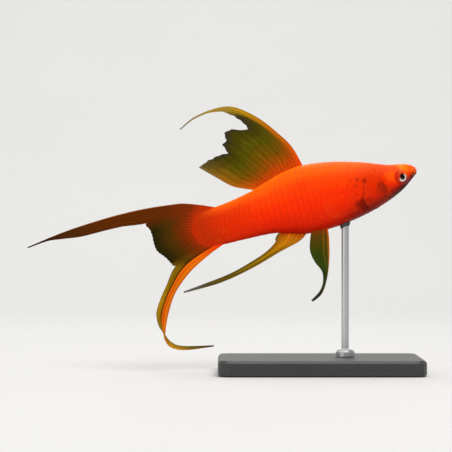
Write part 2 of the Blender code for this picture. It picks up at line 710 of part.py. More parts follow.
def build_stand(trunk):
    """The base plate, and the rod that holds the belly just ahead of the pelvic fins."""
    height = BASE_SIZE[2]
    stacked("stand_base", [base_loop(BASE_FOOT_EDGE, 0.0), base_loop(0.0, BASE_FOOT_EDGE),
                           base_loop(0.0, height - BASE_EDGE), base_loop(BASE_EDGE, height)], STAND_GREY)

    foot = height + GAP
    top = foot + COLLAR_HEIGHT
    stacked("stand_collar", [round_loop(COLLAR_RADIUS, foot, COLLAR_SIDES),
                             round_loop(COLLAR_RADIUS, top - COLLAR_EDGE, COLLAR_SIDES),
                             round_loop(COLLAR_RADIUS - COLLAR_EDGE, top, COLLAR_SIDES)], ROD_STEEL)

    bpy.context.view_layer.update()
    shell = bmesh.new()
    shell.from_mesh(trunk.data)
    shell.transform(trunk.matrix_world)
    tree = BVHTree.FromBMesh(shell)
    shell.free()

    def under_trunk(x, y):
        """The point just below the trunk's underside, over a point of the rod."""
        hit = tree.ray_cast(Vector((x, y, height)) * MM, Vector((0, 0, 1)))[0]
        return (x, y, hit.z / MM - SLANTED_GAP)

    bottom = round_loop(ROD_RADIUS, top + GAP, ROD_SIDES)
    rim = [under_trunk(x, y) for x, y, _ in bottom]
    points = [Vector(point) * MM for point in bottom + rim + [under_trunk(ROD_X, 0)]]
    lower, upper = list(range(ROD_SIDES)), list(range(ROD_SIDES, 2 * ROD_SIDES))
    faces = [tuple(reversed(lower))] + ring_faces(lower, upper)
    faces += [(upper[k - 1], upper[k], len(points) - 1) for k in range(ROD_SIDES)]
    add_object("stand_rod", points, faces, ROD_STEEL)


def main():
    clear_scene()
    fish = add_fish_frame()
    build_head(fish)
    trunk = build_body(fish)
    build_dorsal(fish)
    build_caudal(fish)
    build_anal(fish)
    build_pelvic(fish)
    build_pectoral(fish)
    build_stand(trunk)


main()
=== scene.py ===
"""The looks of a life-size male lyretail swordtail on its display stand.

The body is drawn in the level fish's own measures, in millimetres: s backwards from the tip of the
snout, y to the fish's left and h upwards from the axis of the head. Every piece is then pitched nose
up and lifted over the stand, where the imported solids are. Screen colours run from 0 to 255.
"""
import math
from functools import partialmethod

import bpy
import numpy as np
from bpy.props import FloatProperty, FloatVectorProperty, IntProperty, PointerProperty
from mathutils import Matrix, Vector


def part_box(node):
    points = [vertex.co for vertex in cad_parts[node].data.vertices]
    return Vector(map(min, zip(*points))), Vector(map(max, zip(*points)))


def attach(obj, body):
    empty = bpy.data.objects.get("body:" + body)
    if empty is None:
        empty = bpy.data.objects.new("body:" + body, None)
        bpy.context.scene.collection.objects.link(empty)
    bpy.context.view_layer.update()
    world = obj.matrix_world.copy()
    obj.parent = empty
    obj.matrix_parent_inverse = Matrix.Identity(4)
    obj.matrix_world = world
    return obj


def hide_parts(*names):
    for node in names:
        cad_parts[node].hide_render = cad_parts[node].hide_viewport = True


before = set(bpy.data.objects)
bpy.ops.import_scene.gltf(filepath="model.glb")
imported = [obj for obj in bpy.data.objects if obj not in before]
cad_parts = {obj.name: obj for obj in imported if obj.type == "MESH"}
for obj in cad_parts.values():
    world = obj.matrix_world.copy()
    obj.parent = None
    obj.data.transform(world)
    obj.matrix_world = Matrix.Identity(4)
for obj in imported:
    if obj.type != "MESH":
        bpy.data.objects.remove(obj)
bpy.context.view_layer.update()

bl_info = {
    "name": "Swordtail display model",
    "version": (1, 0, 0),
    "blender": (4, 5, 0),
    "location": "View3D > Sidebar > Swordtail",
    "description": "Builds the skin, scales, eyes, fins and stand of a male lyretail swordtail",
    "category": "Add Mesh",
}

BODY = "root"
MM = 0.001
FULL_TURN = 2 * math.pi
SEED = 11
SIDES = ((1, "left"), (-1, "right"))

# Pose over the stand
PITCH = math.radians(14.5)
SNOUT_X = 32.3
SNOUT_Z = 67.0

# Body: distance behind the snout, then the measure that the list is named for
BACK_LINE = [(0, 0.3), (0.3, 1.4), (0.9, 2.1), (2.0, 2.8), (3.6, 3.45), (5.5, 3.85), (9.8, 4.8),
             (17.6, 7.7), (27.3, 10.3), (36.0, 11.4), (44.5, 10.3), (53.8, 7.7), (64.6, 5.7), (75, 4.9)]
BELLY_LINE = [(0, 0.3), (0.3, -0.8), (0.9, -1.25), (2.7, -2.6), (5.3, -4.5), (11.2, -7.3),
              (18.6, -9.5), (27.7, -11.1), (34.5, -11.5), (39.7, -11.2), (46.2, -9.4), (52.0, -8.2),
              (61.2, -7.8), (75, -7.6)]
WIDEST_LEVEL = [(0, 0.3), (5, 0.2), (12, -0.3), (20, -0.8), (36, -0.5), (50, -0.6), (75, -1.2)]
HALF_WIDTH = [(0, 0), (0.3, 1.3), (0.9, 1.9), (2.0, 2.55), (3.6, 3.25), (5.5, 3.9), (9.0, 4.75),
              (14, 5.4), (22, 5.75), (30, 5.55), (38, 4.9), (46, 3.8), (54, 2.75), (62, 2.05),
              (69, 1.35), (77, 0.5)]
HEAD_SQUARENESS = 2.7          # power of the upper outline of a section at the snout
BODY_SQUARENESS = 2.05         # and of every outline from FLAT_TOP_END on
FLAT_TOP_END = 30.0
# The gill cover's edge: degrees from the back, then distance behind the snout
GILL_OPENING = [(0, 12.0), (47, 13.8), (77, 17.6), (113, 19.7), (134, 19.2), (158, 17.0), (180, 15.4)]
STALK_END = 69.2
STALK_END_BOW = 6.6
BOW_START = 40.0               # the rings of the skin bow backwards from here on
STALK_THINNING = 9.0           # the stalk thins down to the tail fin's rays over this length
STALK_EDGE = 0.5               # what is left of its width there
SKIN_OVERLAP = 1.7             # the skin runs on over the foot of the tail fin
STANDARD_LENGTH = 75.0
BODY_SPAN = 80.0               # length of the body that its own map is drawn over
HEAD_END = 13.0
FINE_RINGS = 130               # rings of the skin as far as HEAD_END, closest at the snout
PLAIN_RINGS = 235              # and behind it
RING_POINTS = 192

# Small forms of the skin, each keyed to a distance: height in mm, place and reach
MOUTH_LINE = [(-2.0, 1.6), (0.4, 1.0), (1.2, 0.35), (1.8, -0.45)]
LIP = (0.36, 0.22)             # its height is a setting
MOUTH_SLIT = (-0.3, 0.0, 0.12)
GILL_COVER_REACH = 2.8         # it rises to its edge over this length
GILL_COVER_SPAN = (36, 58, 163, 178)    # degrees from the back: start, full, fade and end
CHEEK_SPAN = (62, 85, 140, 165)
GILL_SLIT = (0.2, 0.5)         # its depth, and how fast it levels out behind the cover
CHEEK_EDGE = (0.1, 6.3, 0.5)
CHEEK_FOLD = (-0.16, 5.4, 0.28)
GILL_RAYS = (0.07, 1.3)        # depth and spacing of the folds under the throat
THROAT_TURN = (150, 166)       # in degrees from the back
THROAT_START = (6.0, 8.0)
THROAT_END = 0.4               # ahead of the gill cover's edge
EYE_SIDE = (0.35, 0.6)         # how far round the side the eye's forms come in
EYE_RIM = (0.14, 0.06, 0.22)
EYE_GROOVE = (-0.07, 0.55, 0.3)
EYE_SOCKET = (0.9, -0.5, -0.16)    # its depth, and where its wall starts and ends
NOSTRILS = [(2.7, 52), (3.6, 50)]
NOSTRIL_RIM = (0.08, 0.42, 0.13)
NOSTRIL_PIT = (-0.3, 0.0, 0.25)
FIN_ROOT = (0.3, 0.0, 0.9)
DORSAL_FOOT = (35.0, 38.0, 51.0, 55.0)
ANAL_FOOT = (39.0, 41.5, 47.0, 50.5)

# Shares of painted shade in the skin's creases and of painted highlight on its raised rims, along the same
# distances
MOUTH_SHADE = (1.0, 0.0, 0.14)
GILL_SLIT_SHADE = (0.75, -0.12, 0.2)
CHEEK_FOLD_SHADE = (0.55, 5.4, 0.3)
EYE_SOCKET_SHADE = (0.3, -0.2, 0.12)
NOSTRIL_PIT_SHADE = (1.0, 0.0, 0.27)
LIP_HIGHLIGHT = (0.7, 0.42, 0.25)
GILL_EDGE_HIGHLIGHT = (0.4, 0.5, 0.5)

# Eyes
EYE_CENTRE = (5.75, 3.2, -0.5)
EYE_RADIUS = 2.45
EYE_DEPTH = 1.5
EYE_TURN = math.radians(14)
PUPIL_CENTRE = (-0.02, -0.08)  # measured ahead of and above the middle of the eye
PUPIL_HALF = (0.84, 1.08)
PUPIL_SINK = 0.3
PUPIL_WALL = (0.8, 1.05)       # where its wall starts and ends, by the pupil's own measure
IRIS_FRONT = (0.02, 0.5, 26)   # rings of the iris: from, to, in half turns, and how many
IRIS_BACK = (0.54, 0.98, 10)
IRIS_FOLD = (0.08, 1.7, 0.2)   # a shallow ring in the iris, by the same measure
IRIS_INSET = 0.08
CORNEA_RISE = 0.02
CORNEA_THICKNESS = 0.05
CORNEA_TILT = 0.36 * math.pi   # the clear dome reaches this far round from the eye's axis
CORNEA_RINGS = 11
EYE_SPOKES = 64

# Scales: lengths are shares of the distance between their rows unless it says mm
FIRST_SCALE = 8.4              # how far the first row is behind the snout, in mm
SCALE_GRID = 7                 # points along each side of a scale
SCALE_MIDDLE = 0.35
SCALE_REACH = 0.86
SCALE_SPREAD = 0.6
SCALE_TOP = (-0.05, 0.11, 1.3, 0.03)   # in mm: height at its root, rise, steepness, fall to its sides
SCALE_RIM = (-0.2, 0.5)        # places along a scale between which its rim's colour comes in
SCALE_ROOM = 1.25              # the last scales end this far ahead of the skin's end
SHORTEST_SCALE = 0.3           # share of a scale that is left at the gill cover's edge
SCALE_FOOT = -0.12             # how far the edge goes down into the skin, in mm
SCALE_UNEVEN = (0.05, 0.12)    # spread of the scales' sizes and of their heights
SCALE_MARGIN = 0.12            # from a scale's end to the gill cover's edge, in mm
EYE_CLEARANCE = 3.7            # no scales this near the eye's middle, in mm
BARE_CROWN = 38                # no scale is cut short this near the back, in degrees
BARE_THROAT = (150, 12.0)      # no scales this far round, this near the snout
BARE_EDGE = (-0.6, 0.5, 172)   # nor across the gill cover's edge: from, to and how far round
MAP_SCALE = 0.0015             # half the size of a scale's patch on the map for baking
MAP_MARGIN = 0.01              # and the map's empty border

# Fins
SINK = 0.5                     # the fins' roots reach this far into the skin, in mm
CURVE_STEPS = 16               # points of a smooth curve between two of its given ones
POINTS_PER_RAY = 10
DORSAL_ROWS, GONOPODIUM_ROWS, PELVIC_ROWS, PECTORAL_ROWS = 60, 120, 100, 50
DORSAL_NOTCH, WEB_NOTCH, PECTORAL_NOTCH = 0.35, 0.16, 0.15    # how deep the rims are notched, in mm
DORSAL_BASE = (36.3, 42.0, 48.0, 53.6)
DORSAL_LEAD = [(38.3, 18.2), (41.8, 24.0), (46.3, 29.9), (50.8, 34.0), (54.3, 36.2), (57.5, 36.95)]
DORSAL_TRAIL = [(57.0, 8.6), (61.0, 10.6), (65.1, 14.4), (70.1, 19.3)]
DORSAL_EDGE = [(57.5, 36.95), (57.5, 35.2), (54.5, 32.9), (52.2, 30.2), (51.0, 27.6), (53.7, 27.9),
               (56.6, 29.1), (59.3, 28.4), (59.0, 26.0), (60.7, 24.7), (59.6, 21.6), (62.5, 21.7),
               (66.5, 20.9), (70.1, 19.3)]
DORSAL_WAVE = (0.35, 2.6, 5.0, 0.6)    # sideways wave: size, radians along and across, and phase
FILAMENT_UPPER = [(55.6, 36.62), (57.5, 36.98), (60.4, 37.0), (63.5, 36.75), (68.3, 35.7), (73.1, 33.3)]
FILAMENT_LOWER = [(55.6, 34.4), (57.5, 35.3), (60.4, 35.9), (63.4, 36.05), (68.2, 35.15), (72.9, 33.0)]
FILAMENT_COLUMNS = 9
TAIL_ROOT = (1.1, 0.96)        # how far it starts ahead of the stalk's end, and its share of the depth
TAIL_ROOT_POINTS = 25
CAUDAL_UPPER_EDGE = [(72.9, 7.2), (79.2, 9.3), (85.9, 10.2), (92.3, 10.75)]
CAUDAL_LOWER_EDGE = [(73.7, -9.5), (79.6, -12.3), (81.8, -13.5)]
WEB_EDGE = [(92.3, 5.2), (91.2, 3.4), (90.9, 1.1), (91.0, -1.6), (90.5, -4.3), (88.4, -7.0), (86.6, -10.3)]
SWORD_UPPER_EDGE = [(92.3, 10.75), (103.0, 10.75), (113.5, 10.25), (119.0, 9.75), (124.1, 9.1),
                    (131.9, 7.9)]
SWORD_LOWER_EDGE = [(92.3, 5.2), (97.2, 6.4), (104.0, 6.75), (113.5, 6.8), (119.9, 7.6), (125.0, 8.15),
                    (131.8, 7.5)]
LYRE_OUTER_EDGE = [(81.8, -13.5), (87.9, -18.9), (92.0, -25.1), (94.7, -31.3), (95.3, -33.4),
                   (94.1, -36.4), (89.5, -38.5), (80.2, -39.7)]
LYRE_INNER_EDGE = [(86.6, -10.3), (89.4, -14.8), (93.2, -19.6), (95.9, -24.1), (96.2, -28.0),
                   (95.2, -31.2), (93.6, -34.5), (90.1, -36.9), (80.0, -39.3)]
# The lower lobe's fold: share of its width from its outer edge, then its bend sideways
LYRE_FOLD = [(0, -0.24), (0.25, -0.8), (0.45, -0.72), (0.62, 0.44), (0.8, 0.2), (1, 0)]
LYRE_TWIST_PLACE = 0.53        # where along the lobe it turns edge on
LYRE_TWIST_REACH = 0.07
LYRE_TWIST_HALF = 1.2
UPPER_LOBE = 0.2               # share of the tail fin's rays that run on into the upper lobe
LOWER_LOBE = 0.22
WEB_LENGTH = 0.4               # share of the tail fin's own map that its web takes
TAIL_ROWS = (48, 130, 190)     # rows of points along the web, the upper lobe and the lower one
EASED_ROWS = (24, 30)          # rows on each side of the lobes' starts that are smoothed
EASING_ROUNDS = 220
TAIL_SWAY = 1.6                # how far the tail has drifted sideways SWAY_LENGTH behind the body
SWAY_LENGTH = 50.0
GONOPODIUM_BASE = (40.4, 43.4, 46.5, 49.6)
GONOPODIUM_FRONT = [(43.6, -12.8), (51.0, -14.7), (58.4, -16.9), (65.7, -18.6), (74.0, -19.8),
                    (85.4, -19.95)]
GONOPODIUM_REAR = [(51.4, -10.9), (55.5, -13.5), (61.5, -15.6), (68.9, -17.5), (76.8, -18.5),
                   (85.3, -19.4)]
GONOPODIUM_RAYS = 6
ANAL_HOOK = [(48.6, -7.6), (49.6, -8.7), (50.7, -9.6), (51.2, -10.5), (51.0, -11.2), (50.3, -11.5)]
HOOK_RADIUS = 0.33
HOOK_RINGS, HOOK_SIDES = 40, 14
HOOK_END = 1.02                # how blunt its end is
PELVIC_BASE = (33.6, 36.3, 39.0)
PELVIC_HALF_SPREAD = 1.5
PELVIC_SPLAY = 0.12            # how far each leans outwards for each mm below PELVIC_DROP_START
PELVIC_DROP_START = -11.0
PELVIC_FRONT = [(34.0, -14.3), (35.8, -21.4), (38.2, -27.3), (41.0, -31.5), (44.7, -33.4)]
PELVIC_REAR = [(41.0, -16.3), (40.5, -20.7), (38.9, -24.6), (39.5, -28.2), (41.4, -30.9), (44.7, -33.0)]
PELVIC_RAYS = 7
PECTORAL_BASE = (21.9, -1.6, -4.9)     # distance behind the snout, and the heights that it runs between
PECTORAL_LENGTH = 13.0
PECTORAL_SPREAD = math.radians(20)
PECTORAL_FAN = (-2, 30)        # slope of its first ray and of its last, in degrees
PECTORAL_LONGEST = 0.35        # share across the fin that its longest ray is at
PECTORAL_ROUNDING = 1.05
PECTORAL_BULGE = 0.9
PECTORAL_SINK = 0.25
PECTORAL_RAYS = 12
RAY_FORK = 0.2                 # how far the halves of a ray part, in shares of the rays' spacing
RAY_REACH = 0.13               # and how far the ridge of each half reaches to its sides
FORK_SPAN = (0.3, 0.9)         # shares of a ray's length between which it forks
NOTCH_SPAN = (0.04, 0.1, 0.9, 0.96)    # shares across a fin between which its edge is notched
NOTCH_START = (0.8, 1.0)       # and along it
FIRST_SPAN = (0.0, 0.2)        # and over which a fin that starts thin grows to its full thickness

# Pad between the rod and the belly: rings of (share of the rod's radius, height from the skin)
PAD_RINGS = [(1.0, -1.15), (1.22, -1.05), (1.34, -0.45), (1.36, -0.05), (1.2, 0.07)]
PAD_POINTS = 48
BELLY_LIMITS = (20.0, 60.0)    # heights that the belly lies between, in mm
HALVINGS = 40

# Camera: the photograph shows the fish's right side, square on
FRAME_PIXELS = 452
PIXELS_PER_MM = 3.0
VIEW_CENTRE = (-31.33, 48.67)  # x and z of the middle of the frame
SENSOR_WIDTH = 36.0

# Floor sweep, in metres
FLOOR_HALF = 3.0
FLOOR_FRONT = -2.5
BEND_START, BEND_RADIUS = 0.5, 0.5
BEND_STEPS = 24
WALL_HEIGHT = 3.2
FLOOR_DROP = 0.0003
# Lights: place, what each is aimed at, size and share of the key light's power, and colour
MODEL_CENTRE = (VIEW_CENTRE[0] * MM, 0.0, VIEW_CENTRE[1] * MM)
LIGHTS = {
    "key_light": ((0.35, -0.75, 1.15), MODEL_CENTRE, 0.8, 1.0, (1.0, 0.98, 0.95)),
    "fill_light": ((-0.8, -0.8, 0.4), MODEL_CENTRE, 0.8, 0.2, (0.95, 0.97, 1.0)),
    "rim_light": ((-0.2, 0.4, 0.8), MODEL_CENTRE, 0.4, 0.15, (1.0, 1.0, 1.0)),
    "backdrop_light": ((0.0, 0.2, 1.5), (0.0, 1.0, 0.3), 0.8, 0.6, (1.0, 1.0, 1.0)),
}
SKY = (0.95, 0.97, 1.0, 1.0)
SKY_STRENGTH = 0.42

# Finishes
WARM_SHEEN = (1.0, 0.5, 0.22, 1.0)
# Dark red for painted shade in the skin's creases
CREASE_SHADE_RED = (140, 16, 4)
# Orange for a painted highlight on the raised lip and the gill cover's edge
RIM_HIGHLIGHT_ORANGE = (255, 116, 22)
# Marks on the head and shoulder, among them painted shade and a painted highlight: distance behind the
# snout, height, reach, strength and colour
MARKS_SHADES_AND_HIGHLIGHTS = [
    (16.5, -1.0, 10.0, 0.4, (186, 36, 2)),
    (9.3, 0.6, 2.6, 0.55, (255, 98, 8)),
    # painted shade under the lower jaw
    (1.3, -1.4, 2.1, 0.9, (74, 10, 4)),
    # painted highlight above the eye
    (4.2, 2.4, 2.6, 0.75, (255, 132, 14)),
    (1.2, 0.9, 1.3, 0.5, (250, 108, 22)),
    # painted shade in the top corner of the gill opening
    (18.1, 1.2, 0.95, 0.75, (140, 18, 4)),
    (20.3, 2.1, 0.8, 0.6, (176, 30, 5)),
    (21.4, 0.4, 1.1, 0.5, (180, 36, 6)),
    (15.4, 2.4, 0.6, 0.45, (190, 36, 5)),
    (12.9, -2.6, 2.6, 0.8, (150, 28, 4)),
    (11.9, -5.9, 1.9, 0.5, (120, 22, 5)),
    (10.7, -3.5, 0.9, 0.5, (216, 58, 6)),
    (11.3, -5.0, 0.9, 0.5, (204, 52, 6)),
    (12.8, -6.2, 0.9, 0.4, (180, 44, 6)),
    # painted shadow under the pectoral fin's base
    (20.2, -6.4, 3.0, 0.75, (104, 8, 2)),
]


def paint(red, green, blue):
    """A colour given as a screen shows it, as the light that a shader works in."""
    shown = (red / 255, green / 255, blue / 255)
    return tuple(c / 12.92 if c <= 0.04045 else ((c + 0.055) / 1.055) ** 2.4 for c in shown)


def size_property(name, description, default, low, high, **extra):
    return FloatProperty(name=name, description=description, default=default, min=low, max=high, **extra)


def count_property(name, description, default, low, high):
    return IntProperty(name=name, description=description, default=default, min=low, max=high)


def colour_property(name, description, colour):
    return FloatVectorProperty(name=name, description=description, default=colour, size=3,
                               min=0.0, max=1.0, subtype="COLOR")


class SwordtailBodySettings(bpy.types.PropertyGroup):
    """Sizes of the skin and the scales."""
    coat_depth: size_property("Coat depth", "How far the skin lies under the scales, in mm", 0.1, 0.02, 0.4)
    scale_length: size_property("Scale length", "From one row of scales to the next, in shares of the depth",
                                0.088, 0.05, 0.2, subtype="FACTOR")
    scales_round: count_property("Scales round", "Scales in one ring round the body", 24, 12, 60)
    lip_height: size_property("Lip height", "Height of the lips, in mm", 0.2, 0.0, 0.5)
    cover_lift: size_property("Gill cover lift", "Height of the gill cover's edge, in mm", 0.32, 0.0, 0.8)


class SwordtailFinSettings(bpy.types.PropertyGroup):
    """Sizes of the fins."""
    ray: size_property("Ray", "Thickness along a ray at its root, in mm", 0.54, 0.2, 1.5)
    membrane: size_property("Membrane", "Thickness between the rays, in mm", 0.26, 0.1, 0.8)
    dorsal_rays: count_property("Dorsal rays", "Rays of the dorsal fin", 15, 8, 24)
    caudal_rays: count_property("Tail rays", "Rays of the tail fin", 24, 12, 40)


class SwordtailColourSettings(bpy.types.PropertyGroup):
    """Colours of the fish."""
    # Back and belly are partly the fish's own colours and partly painted light and shade: lighter on top,
    # darker underneath
    back: colour_property("Back", "Colour along the back", paint(255, 116, 14))
    flank: colour_property("Flank", "Colour of the flank", paint(250, 44, 1))
    belly: colour_property("Belly", "Colour of the belly", paint(198, 26, 2))
    # The throat's colour is partly its own dark red and partly painted shade under the head
    throat: colour_property("Throat", "Colour of the chin and throat", paint(84, 6, 2))
    iris: colour_property("Iris", "Colour of the iris's bright ring", paint(236, 218, 206))
    olive: colour_property("Olive", "Colour of the fins' membranes", paint(80, 74, 3))
    band: colour_property("Band", "Colour of the lower lobe's bright band", paint(236, 108, 4))


class SwordtailStageSettings(bpy.types.PropertyGroup):
    """The floor, the lights and the camera."""
    floor: colour_property("Floor", "Colour of the floor and backdrop", (0.62, 0.615, 0.60))
    key_power: size_property("Key power", "Power of the main light, in watts", 13.0, 0.0, 200.0,
                             unit="POWER")
    camera_distance: size_property("Camera distance", "Distance from the fish to the camera", 0.75, 0.2, 5.0,
                                   unit="LENGTH")


def profile(pairs, warp=np.sqrt):
    """A smooth function through (distance, value) pairs; its rise at zero is as steep as warp's."""
    places, values = np.array(pairs, float).T
    places = warp(places)
    slopes = np.diff(values) / np.diff(places)
    middle = (values[2:] - values[:-2]) / (places[2:] - places[:-2])
    slopes = np.concatenate([slopes[:1], middle, slopes[-1:]])

    def value_at(distance):
        place = np.clip(warp(np.maximum(distance, 0.0)), places[0], places[-1])
        index = np.clip(np.searchsorted(places, place, side="right") - 1, 0, len(places) - 2)
        span = places[index + 1] - places[index]
        share = (place - places[index]) / span
        rise = share ** 2 * (3 - 2 * share)
        return (values[index] * (1 - rise) + values[index + 1] * rise
                + slopes[index] * span * share * (1 - share) ** 2
                - slopes[index + 1] * span * share ** 2 * (1 - share))

    return value_at


back, belly = profile(BACK_LINE), profile(BELLY_LINE)
level, half_width = profile(WIDEST_LEVEL), profile(HALF_WIDTH)
gill_opening, lyre_fold = profile(GILL_OPENING, np.positive), profile(LYRE_FOLD, np.positive)


def smooth_step(value, low, high):
    """0 below low, 1 above high, and smooth between them."""
    share = np.clip((value - low) / (high - low), 0.0, 1.0)
    return share ** 2 * (3 - 2 * share)


def window(value, start, full, fade, end):
    """1 between full and fade, falling off to 0 at the start and the end."""
    return smooth_step(value, start, full) * (1 - smooth_step(value, fade, end))


def bump(value, centre, reach):
    """1 at the centre, falling off on both sides."""
    return np.exp(-((value - centre) / reach) ** 2)


def form(value, height, centre, reach):
    """A bump with a height."""
    return height * bump(value, centre, reach)


def rounded(share):
    """How deep a rounded section still is at a share of its half width."""
    return (1 - share ** BODY_SQUARENESS) ** (1 / BODY_SQUARENESS)


def under_side(s, share):
    """Height of the body's underside at a share of its half width."""
    return level(s) + (belly(s) - level(s)) * rounded(share)


def stalk_end(angle):
    return STALK_END + STALK_END_BOW * np.abs(np.sin(angle))


def ring_distance(station, angle):
    """Distance behind the snout along a ring of the skin, which bows backwards near the tail."""
    return station + STALK_END_BOW * np.abs(np.sin(angle)) * smooth_step(station, BOW_START, STALK_END)


def turn_from_back(angle):
    """The angle from the back, in degrees, alike on both sides."""
    return np.degrees(np.arccos(np.cos(angle)))


def body_point(s, angle):
    """Point of the body at s and at an angle from the back, round by the left side."""
    cosine, sine = np.cos(angle), np.sin(angle)
    upper = HEAD_SQUARENESS + (BODY_SQUARENESS - HEAD_SQUARENESS) * np.minimum(s / FLAT_TOP_END, 1.0)
    power = 2 / np.where(cosine >= 0, upper, BODY_SQUARENESS)
    end = np.where(cosine >= 0, back(s), belly(s))
    to_end = stalk_end(angle) + SKIN_OVERLAP - s
    thinning = STALK_EDGE + (1 - STALK_EDGE) * smooth_step(to_end, 0.0, STALK_THINNING)
    y = half_width(s) * thinning * np.sign(sine) * np.abs(sine) ** power
    h = level(s) + (end - level(s)) * np.abs(cosine) ** power
    return np.stack([s + 0 * y, y, h], axis=-1)


def line_distance(s, h, line):
    """Distance in the side view from points to a run of points."""
    here = np.stack([s, h], axis=-1)
    nearest = np.full(np.shape(s), np.inf)
    for start, end in zip(line, line[1:]):
        start, run = np.array(start), np.array(end) - np.array(start)
        share = np.clip(((here - start) @ run) / (run @ run), 0.0, 1.0)
        nearest = np.minimum(nearest, np.linalg.norm(here - start - share[..., None] * run, axis=-1))
    return nearest


def skin_features(s, angle, settings):
    """How far the skin stands out at each place, in mm, and its shares of painted shade in the creases and
    of painted highlight on the raised rims.
    """
    point = body_point(s, angle)
    y, h = np.abs(point[..., 1]), point[..., 2]
    turn = turn_from_back(angle)

    mouth = line_distance(s, h, MOUTH_LINE)
    out = settings.lip_height * bump(mouth, *LIP) + form(mouth, *MOUTH_SLIT)
    recess_shades, rim_highlights = [form(mouth, *MOUTH_SHADE)], [form(mouth, *LIP_HIGHLIGHT)]

    before_gill = gill_opening(turn) - s
    covered = window(turn, *GILL_COVER_SPAN)
    cover = np.clip(1 - before_gill / GILL_COVER_REACH, 0.0, 1.0) ** 2 * (before_gill >= 0)
    slit = np.exp(np.minimum(before_gill, 0.0) / GILL_SLIT[1]) * (before_gill < 0)
    out += covered * (settings.cover_lift * cover - GILL_SLIT[0] * slit)
    recess_shades.append(covered * form(before_gill, *GILL_SLIT_SHADE))
    rim_highlights.append(covered * form(before_gill, *GILL_EDGE_HIGHLIGHT))
    cheek = window(turn, *CHEEK_SPAN)
    out += cheek * (form(before_gill, *CHEEK_EDGE) + form(before_gill, *CHEEK_FOLD))
    recess_shades.append(cheek * form(before_gill, *CHEEK_FOLD_SHADE))
    depth, spacing = GILL_RAYS
    throat = smooth_step(turn, *THROAT_TURN) * smooth_step(s, *THROAT_START) * (before_gill > THROAT_END)
    out -= throat * depth * (0.5 + 0.5 * np.cos(before_gill * FULL_TURN / spacing))

    beside = smooth_step(np.abs(np.sin(angle)), *EYE_SIDE)
    past_rim = np.hypot(s - EYE_CENTRE[0], h - EYE_CENTRE[2]) - EYE_RADIUS
    out += beside * (form(past_rim, *EYE_RIM) + form(past_rim, *EYE_GROOVE))
    depth, start, end = EYE_SOCKET
    out -= beside * depth * (1 - smooth_step(past_rim, start, end))
    recess_shades.append(beside * form(past_rim, *EYE_SOCKET_SHADE))

    for place, degrees in NOSTRILS:
        centre = body_point(np.array(place), np.array(math.radians(degrees)))
        apart = np.sqrt((s - centre[0]) ** 2 + (y - centre[1]) ** 2 + (h - centre[2]) ** 2)
        out += form(apart, *NOSTRIL_RIM) + form(apart, *NOSTRIL_PIT)
        recess_shades.append(form(apart, *NOSTRIL_PIT_SHADE))

    feet = window(s, *DORSAL_FOOT) * (turn < 90) + window(s, *ANAL_FOOT) * (turn > 90)
    out += form(y, *FIN_ROOT) * feet
    return out, np.max(recess_shades, axis=0), np.max(rim_highlights, axis=0)


def skin_point(s, angle, lift, settings):
    """Point of the finished skin, raised by lift along the body's own normal, and its shares of painted
    shade and of painted highlight.
    """
    step = 1e-3
    point = body_point(s, angle)
    along = body_point(s + step, angle) - point
    across = body_point(s, angle + step) - body_point(s, angle - step)
    normal = np.cross(across, along)
    normal = normal / np.maximum(np.linalg.norm(normal, axis=-1, keepdims=True), 1e-12)
    outward = np.stack([np.zeros_like(s), np.sin(angle), np.cos(angle)], axis=-1)
    normal *= np.sign(np.sum(normal * outward, axis=-1, keepdims=True))
    out, crease, pale = skin_features(s, angle, settings)
    return point + normal * (out - settings.coat_depth + lift)[..., None], crease, pale


def curve(points, smooth=True):
    """A curve through (s, h) points, as a function of the share of its length."""
    knots = np.array([(s, 0.0, h) for s, h in points], float)
    if smooth:
        ends = np.vstack([knots[:1], knots, knots[-1:]])
        share = np.linspace(0, 1, CURVE_STEPS, endpoint=False)[:, None]
        runs = []
        for a, b, c, d in zip(ends, ends[1:], ends[2:], ends[3:]):
            runs.append(0.5 * (2 * b + (c - a) * share + (2 * a - 5 * b + 4 * c - d) * share ** 2
                               + (3 * b - a - 3 * c + d) * share ** 3))
        knots = np.vstack(runs + [knots[-1:]])
    lengths = np.concatenate([[0.0], np.cumsum(np.linalg.norm(np.diff(knots, axis=0), axis=1))])

    def point_at(share):
        target = np.clip(share, 0.0, 1.0) * lengths[-1]
        return np.stack([np.interp(target, lengths, knots[:, axis]) for axis in range(3)], axis=-1)

    return point_at


def straight(start, end):
    """The straight curve between two points."""
    return lambda share: start + (end - start) * np.asarray(share)[..., None]


def patch(root, tip, lead, trail, across, along):
    """A grid of points between four edges: along the rays in rows, across them in columns."""
    t, v = across[None, :, None], along[:, None, None]
    rays = root(across)[None] * (1 - v) + tip(across)[None] * v
    bands = lead(along)[:, None] * (1 - t) + trail(along)[:, None] * t
    corners = ((root(0.0) * (1 - t) + root(1.0) * t) * (1 - v) + (tip(0.0) * (1 - t) + tip(1.0) * t) * v)
    return rays + bands - corners


def ribbon(upper, lower, across, along):
    """A grid of points between two runs of points, cut straight across at both ends."""
    upper, lower = curve(upper), curve(lower)
    start, end = straight(upper(0.0), lower(0.0)), straight(upper(1.0), lower(1.0))
    return patch(start, end, upper, lower, across, along)


def blade(base, lead, trail, across, along, tip=None):
    """A fin's grid of points, from its base along two edges to its tip, cut straight if none is given."""
    lead, trail = curve(base[:1] + lead), curve(base[-1:] + trail)
    return patch(curve(base), tip or straight(lead(1.0), trail(1.0)), lead, trail, across, along)


def to_world(points):
    """Points of the level fish, in mm, as world points in metres."""
    s, y, h = points[..., 0], points[..., 1], points[..., 2]
    x = SNOUT_X - s * math.cos(PITCH) - h * math.sin(PITCH)
    z = SNOUT_Z - s * math.sin(PITCH) + h * math.cos(PITCH)
    return np.stack([x, y, z], axis=-1) * MM


def add_object(name, data):
    made = bpy.data.objects.new(name, data)
    bpy.context.scene.collection.objects.link(made)
    return made


